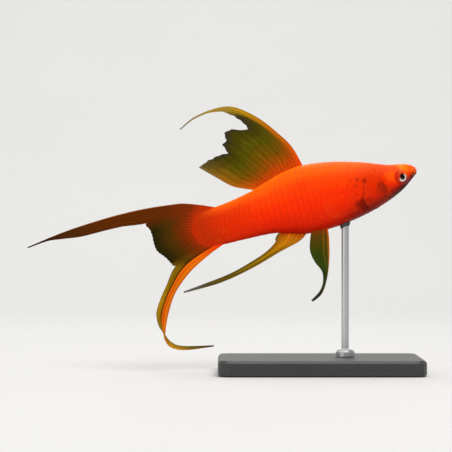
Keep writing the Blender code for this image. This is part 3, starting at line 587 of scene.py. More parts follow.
def add_piece(name, points, faces, material, replaces=(), maps=None, values=None, sharp=50):
    """A mesh object from world points, with its maps and values for each point, riding on the body."""
    mesh = bpy.data.meshes.new(name)
    mesh.from_pydata([tuple(point) for point in points], [], faces)
    corners = np.empty(len(mesh.loops), np.int32)
    mesh.loops.foreach_get("vertex_index", corners)
    for title, places in (maps or {}).items():
        layer = mesh.uv_layers.new(name=title)
        layer.data.foreach_set("uv", places[corners].astype(np.float32).ravel())
    for title, numbers in (values or {}).items():
        layer = mesh.attributes.new(title, "FLOAT", "POINT")
        layer.data.foreach_set("value", numbers.astype(np.float32).ravel())
    mesh.materials.append(material)
    mesh.shade_smooth()
    mesh.set_sharp_from_angle(angle=math.radians(sharp))
    piece = add_object(name, mesh)
    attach(piece, BODY)
    if replaces:
        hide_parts(*replaces)
    return piece


def quads_between(numbers):
    """Quads of a grid of point numbers."""
    quads = np.stack([numbers[:-1, :-1], numbers[:-1, 1:], numbers[1:, 1:], numbers[1:, :-1]], axis=-1)
    return quads.reshape(-1, 4).tolist()


def grid_faces(rows, columns):
    return quads_between(np.arange(rows * columns).reshape(rows, columns))


def ring_faces(rows, columns):
    """Quads of a grid of points whose last column joins the first."""
    numbers = np.arange(rows * columns).reshape(rows, columns)
    return quads_between(np.hstack([numbers, numbers[:, :1]]))


def fan_faces(columns, centre, first=0):
    """Triangles from a ring of points to one point."""
    return [(first + (k + 1) % columns, first + k, centre) for k in range(columns)]


def capped_faces(rows, columns):
    """Faces of rings of points with both ends closed."""
    caps = [tuple(reversed(range(columns))), tuple(range((rows - 1) * columns, rows * columns))]
    return ring_faces(rows, columns) + caps


def turned_over(faces):
    return [tuple(reversed(face)) for face in faces]


def shell(points, quads, thickness):
    """Both faces and the rim of a closed sheet about a middle surface."""
    quads = np.array(quads)
    a, b, c, d = (points[quads[:, corner]] for corner in range(4))
    face_normals = np.cross(c - a, d - b)
    normals = np.zeros_like(points)
    for corner in range(4):
        np.add.at(normals, quads[:, corner], face_normals)
    normals /= np.maximum(np.linalg.norm(normals, axis=1, keepdims=True), 1e-9)
    half = normals * thickness[:, None] / 2
    count = len(points)
    sides = np.concatenate([quads[:, [corner, (corner + 1) % 4]] for corner in range(4)])
    known = {(int(a), int(b)) for a, b in sides}
    rim = sorted((b, a, a + count, b + count) for a, b in known if (b, a) not in known)
    faces = quads.tolist() + (quads[:, ::-1] + count).tolist() + rim
    return np.vstack([points + half, points - half]), faces


def ray_ridges(across, along, rays):
    """Height of the ray ridges, 0 to 1, over a grid; each ray forks towards the fin's edge."""
    phase = (across * rays) % 1.0 - 0.5
    fork = RAY_FORK * smooth_step(along, *FORK_SPAN)
    return np.maximum(bump(phase, fork, RAY_REACH), bump(phase, -fork, RAY_REACH))


def fin_shares(rays, rows):
    """The shares across and along a fin that its grid has points at."""
    return np.linspace(0, 1, POINTS_PER_RAY * rays + 1), np.linspace(0, 1, rows)


def sheet(grid, across, along):
    """A grid as its points, their places across and along the rays, and its quads."""
    t, v = np.broadcast_arrays(across[None, :], along[:, None])
    return grid.reshape(-1, 3), np.stack([t.ravel(), v.ravel()], axis=-1), grid_faces(*grid.shape[:2])


def add_fin(name, surface, rays, material, replaces, strength=1.0, thinning=0.5, first=1.0):
    """A closed fin about a sheet, with ray ridges raised in both of its faces.

    Its thickness is strength times the settings', thinning is the share that is left of it at the
    fin's edge, and first is the share of it at the root.
    """
    settings = bpy.context.scene.swordtail_fins
    points, places, quads = surface
    t, v = places.T
    taper = (1 - (1 - thinning) * v) * (first + (1 - first) * smooth_step(v, *FIRST_SPAN))
    thickness = settings.membrane + (settings.ray - settings.membrane) * ray_ridges(t, v, rays)
    points, faces = shell(points, quads, thickness * taper * strength)
    maps = {"Rays": np.vstack([places, places])}
    add_piece(name, to_world(points), faces, material, replaces, maps, sharp=60)


class Wire:
    """A value in a shader tree; sums on it add the nodes that work them out."""

    def __init__(self, shades, socket):
        self.shades, self.socket = shades, socket

    def maths(self, operation, *others):
        return self.shades.made("ShaderNodeMath", dict(enumerate((self, *others))), operation=operation)

    __add__ = partialmethod(maths, "ADD")
    __sub__ = partialmethod(maths, "SUBTRACT")
    __rsub__ = partialmethod(maths, "MULTIPLY_ADD", -1.0)
    __mul__ = partialmethod(maths, "MULTIPLY")
    __truediv__ = partialmethod(maths, "DIVIDE")
    __abs__ = partialmethod(maths, "ABSOLUTE")

    def length(self, other):
        """The length of a line with these two measures."""
        return (self * self + other * other).maths("SQRT")

    def soft(self, low, high):
        """0 below low and 1 above high, smooth between."""
        limits = {"Value": self, "From Min": low, "From Max": high}
        return self.shades.made("ShaderNodeMapRange", limits, interpolation_type="SMOOTHSTEP")

    def between(self, first, second):
        """The first colour where this is 0 and the second where it is 1."""
        return self.shades.mix(self, first, second)

    def painted(self, share, colour):
        """This colour under a share of another."""
        return self.shades.mix(share, self, colour)

    def times(self, colour):
        return self.shades.mix(1.0, self, colour, "MULTIPLY")

    def ramp(self, stops):
        """A colour that runs through stops: each is a place, then a colour or its three screen values."""
        node = self.shades.node("ShaderNodeValToRGB")
        node.color_ramp.interpolation = "EASE"
        while len(node.color_ramp.elements) < len(stops):
            node.color_ramp.elements.new(0.5)
        for element, (place, *colour) in zip(node.color_ramp.elements, stops):
            element.position = place
            element.color = (*(paint(*colour) if len(colour) == 3 else colour[0]), 1.0)
        self.shades.feed(node.inputs[0], self)
        return Wire(self.shades, node.outputs[0])


class Shades:
    """A shader tree and the steps that its colours and masks are made by."""

    def __init__(self, tree):
        self.tree = tree

    def node(self, kind, **settings):
        node = self.tree.nodes.new(kind)
        for name, value in settings.items():
            setattr(node, name, value)
        return node

    def feed(self, socket, value):
        """Link a socket to a wire, or set it to a plain value."""
        if isinstance(value, Wire):
            self.tree.links.new(value.socket, socket)
        else:
            socket.default_value = (*value, 1.0) if socket.type == "RGBA" else value

    def made(self, kind, values, output=0, **settings):
        """An output of a new node, with values fed to its inputs."""
        node = self.node(kind, **settings)
        for title, value in values.items():
            self.feed(node.inputs[title], value)
        return Wire(self, node.outputs[output])

    def mix(self, factor, first, second, blend="MIX"):
        """The factor goes in at the first of the node's inputs and the colours at the seventh and eighth."""
        colours = {0: factor, 6: first, 7: second}
        return self.made("ShaderNodeMix", colours, 2, data_type="RGBA", blend_type=blend, clamp_factor=True)

    def place(self):
        return self.made("ShaderNodeTexCoord", {}, "Object")

    def noise(self, scale, detail=3.0, roughness=0.5, vector=None):
        vector = vector or self.place()
        measures = dict(Vector=vector, Scale=scale, Detail=detail, Roughness=roughness)
        return self.made("ShaderNodeTexNoise", measures)

    def attribute(self, title):
        return self.made("ShaderNodeAttribute", {}, "Fac", attribute_name=title)

    def dot(self, first, second):
        return self.made("ShaderNodeVectorMath", {0: first, 1: second}, "Value", operation="DOT_PRODUCT")

    def map(self, title):
        """The two measures of a named map."""
        node = self.node("ShaderNodeSeparateXYZ")
        self.feed(node.inputs[0], self.made("ShaderNodeUVMap", {}, uv_map=title))
        return Wire(self, node.outputs[0]), Wire(self, node.outputs[1])

    def group(self, name, **values):
        """The outputs of a shader group, by their names."""
        node = self.node("ShaderNodeGroup", node_tree=bpy.data.node_groups[name])
        for title, value in values.items():
            self.feed(node.inputs[title], value)
        return {socket.name: Wire(self, socket) for socket in node.outputs}


class Group(Shades):
    """A new shader group with named inputs."""

    def __init__(self, name, *inputs):
        super().__init__(bpy.data.node_groups.new(name, "ShaderNodeTree"))
        for title in inputs:
            self.tree.interface.new_socket(title, in_out="INPUT", socket_type="NodeSocketFloat")
        self.given = [Wire(self, socket) for socket in self.node("NodeGroupInput").outputs]

    def give(self, **results):
        """Add the group's named outputs; the one named Color is a colour."""
        for title in results:
            kind = "NodeSocketColor" if title == "Color" else "NodeSocketFloat"
            self.tree.interface.new_socket(title, in_out="OUTPUT", socket_type=kind)
        node = self.node("NodeGroupOutput")
        for title, value in results.items():
            self.feed(node.inputs[title], value)


class Finish(Shades):
    """A new material with its shader; constants are values of the shader's own sockets."""

    def __init__(self, name, roughness, **constants):
        self.material = bpy.data.materials.new(name)
        self.material.use_nodes = True
        super().__init__(self.material.node_tree)
        self.shader = self.tree.nodes["Principled BSDF"]
        for title, value in dict(constants, Roughness=roughness).items():
            self.shader.inputs[title.replace("_", " ")].default_value = value

    def bumps(self, height, distance, strength):
        """Link a bump of that distance, in mm, to the shader."""
        node = self.node("ShaderNodeBump")
        self.feed(node.inputs["Height"], height)
        node.inputs["Distance"].default_value = distance * MM
        node.inputs["Strength"].default_value = strength
        self.feed(self.shader.inputs["Normal"], Wire(self, node.outputs[0]))

    def done(self, colour, **others):
        """Link the colour and whatever else changes over the surface; gives the material."""
        for title, value in dict(others, Base_Color=colour).items():
            self.feed(self.shader.inputs[title.replace("_", " ")], value)
        return self.material


def build_level_place():
    """Where a point lies in the level fish: behind the snout and above the axis, in mm."""
    group = Group("Level place")
    snout = (SNOUT_X * MM, 0.0, SNOUT_Z * MM)
    moved = group.made("ShaderNodeVectorMath", {0: group.place(), 1: snout}, operation="SUBTRACT")
    ahead = group.dot(moved, (math.cos(PITCH), 0.0, math.sin(PITCH)))
    above = group.dot(moved, (-math.sin(PITCH), 0.0, math.cos(PITCH)))
    group.give(Behind=ahead * (-1 / MM), Height=above * (1 / MM))


def build_markings(colours):
    """The colour of the body, which the skin and the scales share."""
    group = Group("Skin markings")
    length, turn = group.map("Body")
    behind = length * BODY_SPAN
    # Colour from back to belly, partly the fish's own and partly painted light and shade: lighter along the
    # back, darker towards the belly
    colour = turn.ramp([(0.0, colours.back), (0.2, 255, 92, 5), (0.36, 253, 64, 3), (0.52, colours.flank),
                        (0.72, 234, 34, 2), (0.88, colours.belly), (1.0, 140, 16, 2)])
    crown = (1 - behind.soft(4.0, 22.0)) * (1 - turn.soft(0.2, 0.62))
    # Painted shade under the head: darker at the throat and darkest at the chin
    under_head = turn.soft(0.60, 0.84) * behind.soft(1.4, 3.2)
    throat = (1 - behind.soft(18.0, 33.0)) * under_head
    chin = (1 - behind.soft(7.0, 16.0)) * under_head
    shade = behind.soft(50.0, 66.0) * turn.soft(0.1, 0.4)
    mottle = group.noise(420.0, 4.0, 0.6)
    uneven = mottle - 0.5
    stalk = (behind + uneven * 6.0).soft(64.0, 77.0)
    patches = group.noise(130.0, 2.0).soft(0.5, 0.75)
    speckle = mottle.soft(0.55, 0.85)
    for share, tint in ((crown * 0.65, paint(238, 58, 3)), (1 - behind.soft(0.9, 3.2), paint(240, 62, 5)),
                        (throat * 0.92, colours.throat), (chin * 0.8, paint(40, 4, 3)),
                        (shade * 0.75, paint(214, 42, 1)), (stalk * 0.95, paint(184, 43, 2)),
                        (patches * 0.35, paint(236, 34, 2)), (speckle * 0.4, paint(255, 92, 8))):
        colour = colour.painted(share, tint)
    place = group.group("Level place")
    # Each mark paints its colour in; some of them are painted shade and one is a painted highlight
    for s, h, reach, strength, tint in MARKS_SHADES_AND_HIGHLIGHTS:
        apart = (place["Behind"] - s).length(place["Height"] - h) + uneven * (reach * 1.6)
        mark = 1 - apart.soft(reach * 0.3, reach * 1.1)
        colour = colour.painted(mark * strength, paint(*tint))
    group.give(Color=colour, Mottle=mottle)


def build_rays():
    """The pattern of a fin's rays, drawn over its own map."""
    group = Group("Fin rays", "Rays", "Joints")
    rays, joints = group.given[:2]
    across, along = group.map("Rays")
    turns = across * rays
    phase = turns.maths("FRACT") - 0.5
    off_ray = abs(abs(phase) - along.soft(*FORK_SPAN) * RAY_FORK)
    ray = 1 - off_ray.soft(0.03, 0.2)
    joint = 1 - (along * joints).maths("FRACT").soft(0.0, 0.3)
    stretched = group.made("ShaderNodeCombineXYZ", {0: turns * 2.3, 1: along * 7.0})
    group.give(Ray=ray, Joint=joint * ray, Grain=group.noise(900.0, 3.0, 0.6),
               Streak=group.noise(1.0, 4.0, 0.6, stretched),
               Fleck=group.noise(3.4, 2.0, 0.5, stretched).soft(0.56, 0.72), Across=across, Along=along)


def skin_material():
    finish = Finish("painted_skin", 0.42, Coat_Weight=0.02, Coat_Roughness=0.2,
                    Specular_IOR_Level=0.11, Specular_Tint=WARM_SHEEN)
    colour = finish.group("Skin markings")["Color"]
    # Painted highlight on the raised lip and the gill cover's edge
    colour = colour.painted(finish.attribute("pale") * 0.35, paint(*RIM_HIGHLIGHT_ORANGE))
    # Painted shade in the mouth line, gill slit, cheek fold, eye socket and nostril pits
    colour = colour.painted(finish.attribute("crease") * 0.6, paint(*CREASE_SHADE_RED))
    finish.bumps(finish.noise(1500.0), 0.06, 0.5)
    return finish.done(colour)


def scale_material():
    """The body's colours, deeper where a scale lies open and in full along its rim."""
    finish = Finish("painted_scales", 0.36, Coat_Weight=0.02, Coat_Roughness=0.18,
                    Specular_IOR_Level=0.13, Specular_Tint=WARM_SHEEN)
    marks = finish.group("Skin markings")
    rim = finish.attribute("rim")
    finish.bumps((rim * 34.0).maths("SINE") + marks["Mottle"], 0.015, 0.5)
    return finish.done(marks["Color"].painted(rim * 0.48, marks["Color"].times((0.74, 0.5, 0.45))))


def ray_finish(pattern, colour, streak):
    """Lighter rays, darker skin between them, uneven streaks and fine joints along each ray."""
    colour = colour.times(pattern["Streak"] * 0.68 + 0.66)
    colour = colour.painted(pattern["Fleck"] * streak, colour.times((1.9, 1.75, 1.4)))
    bright = colour.painted(streak, colour.times((1.35, 1.3, 1.1)))
    dark = colour.painted(streak, colour.times((0.76, 0.74, 0.72)))
    return pattern["Ray"].between(dark, bright).painted(pattern["Joint"] * 0.22, (0.02, 0.012, 0.006))


def fin_finish(name, rays, joints):
    """A fin's finish with its pattern of rays and their relief, and the colour not linked yet."""
    finish = Finish(name, 0.4, Specular_IOR_Level=0.12, Specular_Tint=WARM_SHEEN)
    pattern = finish.group("Fin rays", Rays=float(rays), Joints=joints)
    finish.bumps(pattern["Ray"] * 0.6 + (pattern["Joint"] + pattern["Grain"]) * 0.4, 0.05, 0.5)
    return finish, pattern


def fin_material(name, rays, stops, edges=(), streak=0.5, alpha=None):
    """A fin's finish: colours along the rays, then at its edges, and the rays themselves.

    An edge is its place across the rays, its reach, its strength and its colours along the rays.
    """
    finish, pattern = fin_finish(name, rays, 46.0)
    along = pattern["Along"] + (pattern["Grain"] - 0.5) * 0.12
    colour = along.ramp(stops)
    for place, reach, strength, edge_stops in edges:
        near = 1 - abs(pattern["Across"] - place).soft(0.0, reach)
        colour = colour.painted(near * strength, along.ramp(edge_stops))
    others = {"Alpha": pattern["Ray"] * (alpha[1] - alpha[0]) + alpha[0]} if alpha else {}
    return finish.done(ray_finish(pattern, colour, streak), **others)


def caudal_material(colours, rays):
    """The tail fin: red at its root, an olive web, a brown upper lobe and a banded lower lobe."""
    finish, pattern = fin_finish("painted_tail_fin", rays, 90.0)
    along, across = pattern["Along"], pattern["Across"]
    place = along + ((pattern["Grain"] - 0.5) * 0.06 + (pattern["Streak"] - 0.5) * 0.12)
    web = place.ramp([(0.0, 206, 46, 2), (0.05, 190, 44, 2), (0.11, 140, 42, 2), (0.18, 106, 42, 2),
                      (0.27, 68, 45, 2), (0.36, 38, 33, 3), (0.42, 20, 18, 7)])
    sword = place.ramp([(0.0, 214, 52, 3), (0.05, 188, 46, 3), (0.13, 122, 41, 2), (0.3, 94, 38, 2),
                        (0.55, 88, 38, 2), (0.82, 70, 34, 4), (1.0, 50, 28, 12)])
    lower = place.ramp([(0.0, 236, 58, 2), (0.1, 232, 78, 3), (0.24, colours.band), (0.66, 214, 92, 4),
                        (0.73, 190, 116, 14), (0.82, 200, 152, 36), (0.9, 124, 110, 34), (1.0, 84, 82, 70)])
    inner = place.ramp([(0.0, 214, 44, 2), (0.12, 130, 46, 3), (0.3, 92, 62, 4), (0.44, 140, 104, 10),
                        (0.58, 178, 134, 14), (0.7, 140, 112, 16), (0.82, 170, 136, 36), (0.9, 112, 104, 34),
                        (1.0, 84, 82, 70)])
    lobe_start, fold = 1 - LOWER_LOBE, 1 - 0.55 * LOWER_LOBE
    colour = across.soft(UPPER_LOBE * 0.7, UPPER_LOBE * 1.6).between(sword, web)
    colour = colour.painted(across.soft(lobe_start - 0.05, lobe_start + 0.03), inner)
    colour = colour.painted(across.soft(fold - 0.012, fold + 0.012), lower)

    def stripe(centre, inside, outside):
        """A line along the rays, sharp within and gone beyond."""
        return 1 - abs(across - centre).soft(inside, outside)

    # Painted shadow that the lower lobe's folded band casts along its fold
    fold_shadow = stripe(fold, 0.004, 0.022) * (along.soft(0.02, 0.12) * (1 - along.soft(0.62, 0.72)))
    second = stripe(fold + 0.045, 0.002, 0.014) * along.soft(0.1, 0.3)
    shine = stripe(0.955, 0.004, 0.026) * along.soft(0.2, 0.4)
    colour = colour.painted(fold_shadow * 0.9, paint(58, 14, 3)).painted(second * 0.5, paint(176, 44, 4))
    colour = colour.painted(shine * 0.4, paint(250, 150, 26))
    plain = across.soft(lobe_start - 0.02, lobe_start + 0.05) * 0.75
    colour = plain.between(ray_finish(pattern, colour, 0.6), colour)
    colour = colour.painted(stripe(0.0, 0.0, 0.016) * 0.6, paint(176, 104, 30))
    return finish.done(colour.painted(stripe(1.0, 0.0, 0.01) * 0.4, paint(150, 60, 10)))


def eye_material(colours):
    """Pupil, bright ring, orange upper iris and red outer ring, by the distance from the eye's axis."""
    finish = Finish("painted_iris", 0.4, Coat_Weight=0.1, Coat_Roughness=0.03, Specular_IOR_Level=0.05)
    ahead, above = ((place - 0.5) * (2 * EYE_RADIUS) for place in finish.map("Iris"))
    flecks = finish.noise(2600.0)
    stray = (flecks - 0.5) * 0.3
    upward = (above - PUPIL_CENTRE[1]) / PUPIL_HALF[1]
    narrowing = 1 - upward.soft(-0.4, 1.1) * 0.3
    from_pupil = ((ahead - PUPIL_CENTRE[0]) / (narrowing * PUPIL_HALF[0])).length(upward)
    ring = (above - ahead * 0.6).soft(-0.5, 0.5).between(colours.iris, paint(228, 62, 8))
    outer = above.soft(-1.6, 0.6).between(paint(116, 14, 4), paint(250, 92, 6))
    outer = outer.painted(ahead.soft(0.2, -1.6), paint(226, 42, 6))
    colour = (from_pupil + stray).soft(1.45, 1.8).between(ring, outer)
    rim = (ahead.length(above) + stray * 2.0).soft(1.85, 2.2)
    colour = colour.painted(rim * 0.35, paint(196, 34, 4))
    finish.bumps(flecks, 0.04, 0.4)
    return finish.done(colour.painted(1 - from_pupil.soft(0.9, 1.06), paint(20, 3, 2)))


def cornea_material():
    finish = Finish("clear_cornea", 0.04, IOR=1.4)
    film = finish.noise(700.0, 2.0)
    return finish.done(film.between((0.01, 0.01, 0.01), (0.03, 0.02, 0.02)), Alpha=film * 0.03 + 0.06)


def base_material():
    """Satin black board with a fine grain and a painted highlight that makes its edges a little paler."""
    finish = Finish("satin_board", 0.42, Coat_Weight=0.12, Coat_Roughness=0.3)
    grain = finish.noise(900.0, 4.0, 0.6)
    colour = finish.noise(60.0, 2.0).between((0.018, 0.018, 0.019), (0.032, 0.031, 0.030))
    bevel = finish.node("ShaderNodeBevel", samples=4)
    bevel.inputs["Radius"].default_value = 0.7 * MM
    turned = finish.dot(Wire(finish, bevel.outputs[0]), finish.made("ShaderNodeNewGeometry", {}, "Normal"))
    # Painted highlight on the board's bevelled edges, uneven with the grain
    edge_highlight = (1 - turned).soft(0.01, 0.12) * (grain * 0.8)
    finish.bumps(grain, 0.04, 0.4)
    return finish.done(colour.painted(edge_highlight, (0.11, 0.108, 0.10)), Roughness=grain * 0.2 + 0.34)


def steel_material():
    """Brushed steel, its scratches running round the rod."""
    finish = Finish("brushed_rod", 0.3, Metallic=1.0)
    stretched = finish.made("ShaderNodeMapping", {"Vector": finish.place(), "Scale": (0.4, 0.4, 14.0)})
    lines = finish.noise(500.0, 3.0, 0.7, stretched)
    finish.bumps(lines, 0.02, 0.35)
    return finish.done(lines.between((0.46, 0.46, 0.47), (0.68, 0.68, 0.69)), Roughness=lines * 0.22 + 0.2)


def pad_material():
    finish = Finish("rod_pad", 0.55)
    grain = finish.noise(1600.0)
    finish.bumps(grain, 0.03, 0.5)
    return finish.done(grain.between((0.02, 0.02, 0.02), (0.05, 0.048, 0.046)))


def floor_material(colour):
    finish = Finish("pale_floor", 0.7)
    finish.bumps(finish.noise(700.0, 2.0), 0.05, 0.2)
    paler = tuple(min(c * 1.04, 1.0) for c in colour)
    return finish.done(finish.noise(9.0).between(colour, paler))


def circle(points):
    return np.linspace(0, FULL_TURN, points, endpoint=False)


def body_map(s, angle):
    """Places on the map that the body's markings are drawn over."""
    return np.stack([s / BODY_SPAN, np.arccos(np.cos(angle)) / math.pi], axis=-1).reshape(-1, 2)


class SWORDTAIL_OT_skin(bpy.types.Operator):
    """Build the skin of the head and body as one piece"""
    bl_idname = "swordtail.skin"
    bl_label = "Skin"

    def execute(self, context):
        settings = context.scene.swordtail_body
        near = HEAD_END * (np.arange(1, FINE_RINGS + 1) / FINE_RINGS) ** 2
        far = np.linspace(HEAD_END, STALK_END + SKIN_OVERLAP, PLAIN_RINGS + 1)[1:]
        station, angle = np.meshgrid(np.concatenate([near, far]), circle(RING_POINTS), indexing="ij")
        s = ring_distance(station, angle)
        points, crease, pale = skin_point(s, angle, 0.0, settings)
        nose = [[settings.coat_depth, 0.0, back(0.0)]]
        rows, columns = s.shape
        last, half = (rows - 1) * columns, columns // 2
        faces = ring_faces(rows, columns) + fan_faces(columns, rows * columns)
        faces += [(last, last + 1, last + columns - 1), (last + half, last + half + 1, last + half - 1)]
        strips = ((last + k, last + columns - k) for k in range(1, half - 1))
        faces += [(left, left + 1, right - 1, right) for left, right in strips]
        points = to_world(np.vstack([points.reshape(-1, 3), nose]))
        maps = {"Body": np.vstack([body_map(s, angle), [[0.0, 0.5]]])}
        # Shares of painted shade in the creases and of painted highlight on the raised rims, for the skin's
        # finish
        values = {"crease": np.append(crease.ravel(), 0.0), "pale": np.append(pale.ravel(), 0.0)}
        add_piece("fish_skin", points, faces, skin_material(),
                  ("head", "jaw_lower", "trunk", "tail_stalk"), maps, values, sharp=80)
        return {"FINISHED"}


def scale_roots(settings):
    """Each scale's distance behind the snout, its angle, its length and the share of that to show."""
    roots, station, row = [], FIRST_SCALE, 0
    while station < STALK_END + SKIN_OVERLAP:
        pitch = settings.scale_length * float(back(station) - belly(station))
        for place in range(settings.scales_round):
            roots.append((station, FULL_TURN * (place + 0.5 * (row % 2)) / settings.scales_round, pitch))
        station += pitch
        row += 1
    station, angle, pitch = np.array(roots).T
    s = ring_distance(station, angle)
    turn = turn_from_back(angle)
    before_gill = gill_opening(turn) - s
    from_eye = np.hypot(s - EYE_CENTRE[0], body_point(s, angle)[:, 2] - EYE_CENTRE[2])
    on_eye = (from_eye < EYE_CLEARANCE) & (np.abs(np.sin(angle)) > 0.5)
    first, last, lowest = BARE_EDGE
    on_edge = (before_gill > first * pitch) & (before_gill < last * pitch)
    on_edge &= (turn > BARE_CROWN) & (turn < lowest)
    under_head = (turn > BARE_THROAT[0]) & (s < BARE_THROAT[1])
    past_end = s + SCALE_ROOM * pitch > stalk_end(angle) + SKIN_OVERLAP
    to_edge = (before_gill - SCALE_MARGIN) / ((SCALE_MIDDLE + SCALE_REACH) * pitch)
    share = np.where((before_gill > 0) & (turn > BARE_CROWN), np.clip(to_edge, SHORTEST_SCALE, 1.0), 1.0)
    kept = ~(on_eye | on_edge | under_head | past_end)
    return [values[kept, None] for values in (s, angle, pitch, share)]


def scale_template():
    """One scale's points along and across it, their lift and share of the rim, and its faces.

    The top is a square grid drawn into a disc. Its outline is there a second time, lower down, and
    walls and an underside close it.
    """
    side = np.linspace(-1, 1, SCALE_GRID)
    a, b = np.meshgrid(side, side, indexing="ij")
    along, across = (a * np.sqrt(1 - b ** 2 / 2)).ravel(), (b * np.sqrt(1 - a ** 2 / 2)).ravel()
    start, rise, power, fall = SCALE_TOP
    lift = start + rise * ((along + 1) / 2) ** power - fall * across ** 2
    rim = np.hypot(along, across) ** 3 * smooth_step(along, *SCALE_RIM)
    count = SCALE_GRID ** 2
    numbers = np.arange(count).reshape(SCALE_GRID, SCALE_GRID)
    loop = np.concatenate([numbers[0, :-1], numbers[:-1, -1], numbers[-1, :0:-1], numbers[:0:-1, 0]])
    order = np.arange(len(loop))
    after = (order + 1) % len(loop)
    walls = np.stack([loop[after], loop, count + order, count + after], axis=-1)
    step = order[:len(loop) // 2 - 1]
    under = count + np.stack([step + 1, step, len(loop) - 1 - step, len(loop) - 2 - step], axis=-1)
    faces = np.array(quads_between(numbers) + walls.tolist() + under.tolist())
    along, across, rim = (np.append(values, values[loop]) for values in (along, across, rim))
    return along, across, np.append(lift, np.full(len(loop), SCALE_FOOT)), rim, faces


class SWORDTAIL_OT_scales(bpy.types.Operator):
    """Build the overlapping scales as one joined mesh over the skin"""
    bl_idname = "swordtail.scales"
    bl_label = "Scales"

    def execute(self, context):
        settings = context.scene.swordtail_body
        random = np.random.default_rng(SEED)
        s, angle, pitch, share = scale_roots(settings)
        along, across, lift, rim, template = scale_template()
        growth = 1 + SCALE_UNEVEN[0] * random.standard_normal(s.shape)
        heights = lift * (1 + SCALE_UNEVEN[1] * random.standard_normal(s.shape))
        heights = np.clip(heights, SCALE_FOOT, -SCALE_FOOT)
        reach = s + pitch * share * (SCALE_MIDDLE + SCALE_REACH * along * growth)
        turn = angle + FULL_TURN / settings.scales_round * SCALE_SPREAD * growth * across
        points = skin_point(reach, turn, heights, settings)[0]
        faces = (template + np.arange(len(s))[:, None, None] * len(along)).reshape(-1, 4).tolist()
        root_map = np.stack([s / BODY_SPAN, (angle / FULL_TURN) % 1.0], axis=-1)
        root_map = MAP_MARGIN + (1 - 2 * MAP_MARGIN) * root_map
        bake_map = (root_map + np.stack([along, across], axis=-1) * MAP_SCALE).reshape(-1, 2)
        maps = {"OFBake": bake_map, "Body": body_map(reach, turn)}
        piece = add_piece("fish_scales", to_world(points.reshape(-1, 3)), faces, scale_material(),
                          maps=maps, values={"rim": np.tile(rim, len(s))}, sharp=45)
        piece.data.uv_layers["OFBake"].active_render = True
        return {"FINISHED"}


def eye_placed(local, side):
    """Points about the eye's axis, x forwards and y outwards, moved to one eye's place."""
    angle = side * EYE_TURN
    x, y, z = local.T
    forward = x * math.cos(angle) + side * y * math.sin(angle)
    left = -x * math.sin(angle) + side * y * math.cos(angle)
    return np.stack([EYE_CENTRE[0] - forward, side * EYE_CENTRE[1] + left, EYE_CENTRE[2] + z], axis=-1)


def iris_mesh():
    """Points of an iris with a sunken pupil about the eye's axis, and its faces."""
    tilt = np.concatenate([np.linspace(*IRIS_FRONT), np.linspace(*IRIS_BACK)]) * math.pi
    tilts, spins = np.meshgrid(tilt, circle(EYE_SPOKES), indexing="ij")
    radius = EYE_RADIUS * np.sin(tilts)
    forward, upward = radius * np.cos(spins), radius * np.sin(spins)
    ahead, above = (forward - PUPIL_CENTRE[0]) / PUPIL_HALF[0], (upward - PUPIL_CENTRE[1]) / PUPIL_HALF[1]
    from_pupil = np.hypot(ahead, above)
    sunk = PUPIL_SINK * (1 - smooth_step(from_pupil, *PUPIL_WALL)) + form(from_pupil, *IRIS_FOLD)
    outward = (EYE_DEPTH - IRIS_INSET) * np.cos(tilts) - np.where(tilts < math.pi / 2, sunk, 0.0)
    points = np.stack([forward, outward, upward], axis=-1).reshape(-1, 3)
    points = np.vstack([points, [[0.0, outward[0, 0], 0.0], [0.0, outward[-1, 0], 0.0]]])
    rows, columns = tilts.shape
    top = rows * columns
    faces = ring_faces(rows, columns) + fan_faces(columns, top)
    return points, faces + [(a, b, end) for b, a, end in fan_faces(columns, top + 1, top - columns)]


def cornea_mesh():
    """Points and faces of a clear dome with two layers, about the eye's axis."""
    tilt = np.linspace(0.0, CORNEA_TILT, CORNEA_RINGS + 1)[1:]
    tilts, spins = np.meshgrid(tilt, circle(EYE_SPOKES), indexing="ij")
    layers = []
    for shrink in (0.0, CORNEA_THICKNESS):
        reach, depth = (EYE_RADIUS - shrink) * np.sin(tilts), EYE_DEPTH + CORNEA_RISE - shrink
        dome = np.stack([reach * np.cos(spins), depth * np.cos(tilts), reach * np.sin(spins)], axis=-1)
        layers += [dome.reshape(-1, 3), [[0.0, depth, 0.0]]]
    rows, columns = tilts.shape
    block, last = rows * columns + 1, (rows - 1) * columns
    outer = ring_faces(rows, columns) + fan_faces(columns, block - 1)
    inner = [tuple(index + block for index in face) for face in turned_over(outer)]
    pairs = [(last + k, last + (k + 1) % columns) for k in range(columns)]
    return np.vstack(layers), outer + inner + [(b, b + block, a + block, a) for a, b in pairs]


class SWORDTAIL_OT_eyes(bpy.types.Operator):
    """Build each eye as an iris with a sunken pupil under a clear cornea"""
    bl_idname = "swordtail.eyes"
    bl_label = "Eyes"

    def execute(self, context):
        iris, cornea = eye_material(context.scene.swordtail_colours), cornea_material()
        points, faces = iris_mesh()
        dome, dome_faces = cornea_mesh()
        iris_map = {"Iris": 0.5 + points[:, [0, 2]] / (2 * EYE_RADIUS)}
        for side, tag in SIDES:
            facing = turned_over if side > 0 else list
            placed, dome_placed = (to_world(eye_placed(local, side)) for local in (points, dome))
            add_piece("iris_" + tag, placed, facing(faces), iris, ("eye_" + tag,), iris_map)
            add_piece("cornea_" + tag, dome_placed, facing(dome_faces), cornea)
        return {"FINISHED"}


def fin_base(places, line, sink):
    """Points of a fin's base along a line of the body, sunk into the skin."""
    return [(s, float(line(s)) + sink) for s in places]


def notched(grid, across, rays, depth):
    """The grid with its outer edge drawn in a little between the rays."""
    between = 0.5 + 0.5 * np.cos(FULL_TURN * ((across * rays) % 1.0))
    between = (between * window(across, *NOTCH_SPAN))[None, :, None]
    inward = grid[:-1] - grid[1:]
    inward = inward / np.maximum(np.linalg.norm(inward, axis=-1, keepdims=True), 1e-9)
    inward = np.concatenate([inward, inward[-1:]])
    near_edge = smooth_step(np.linspace(0, 1, len(grid)), *NOTCH_START)[:, None, None]
    return grid + inward * near_edge * between * depth


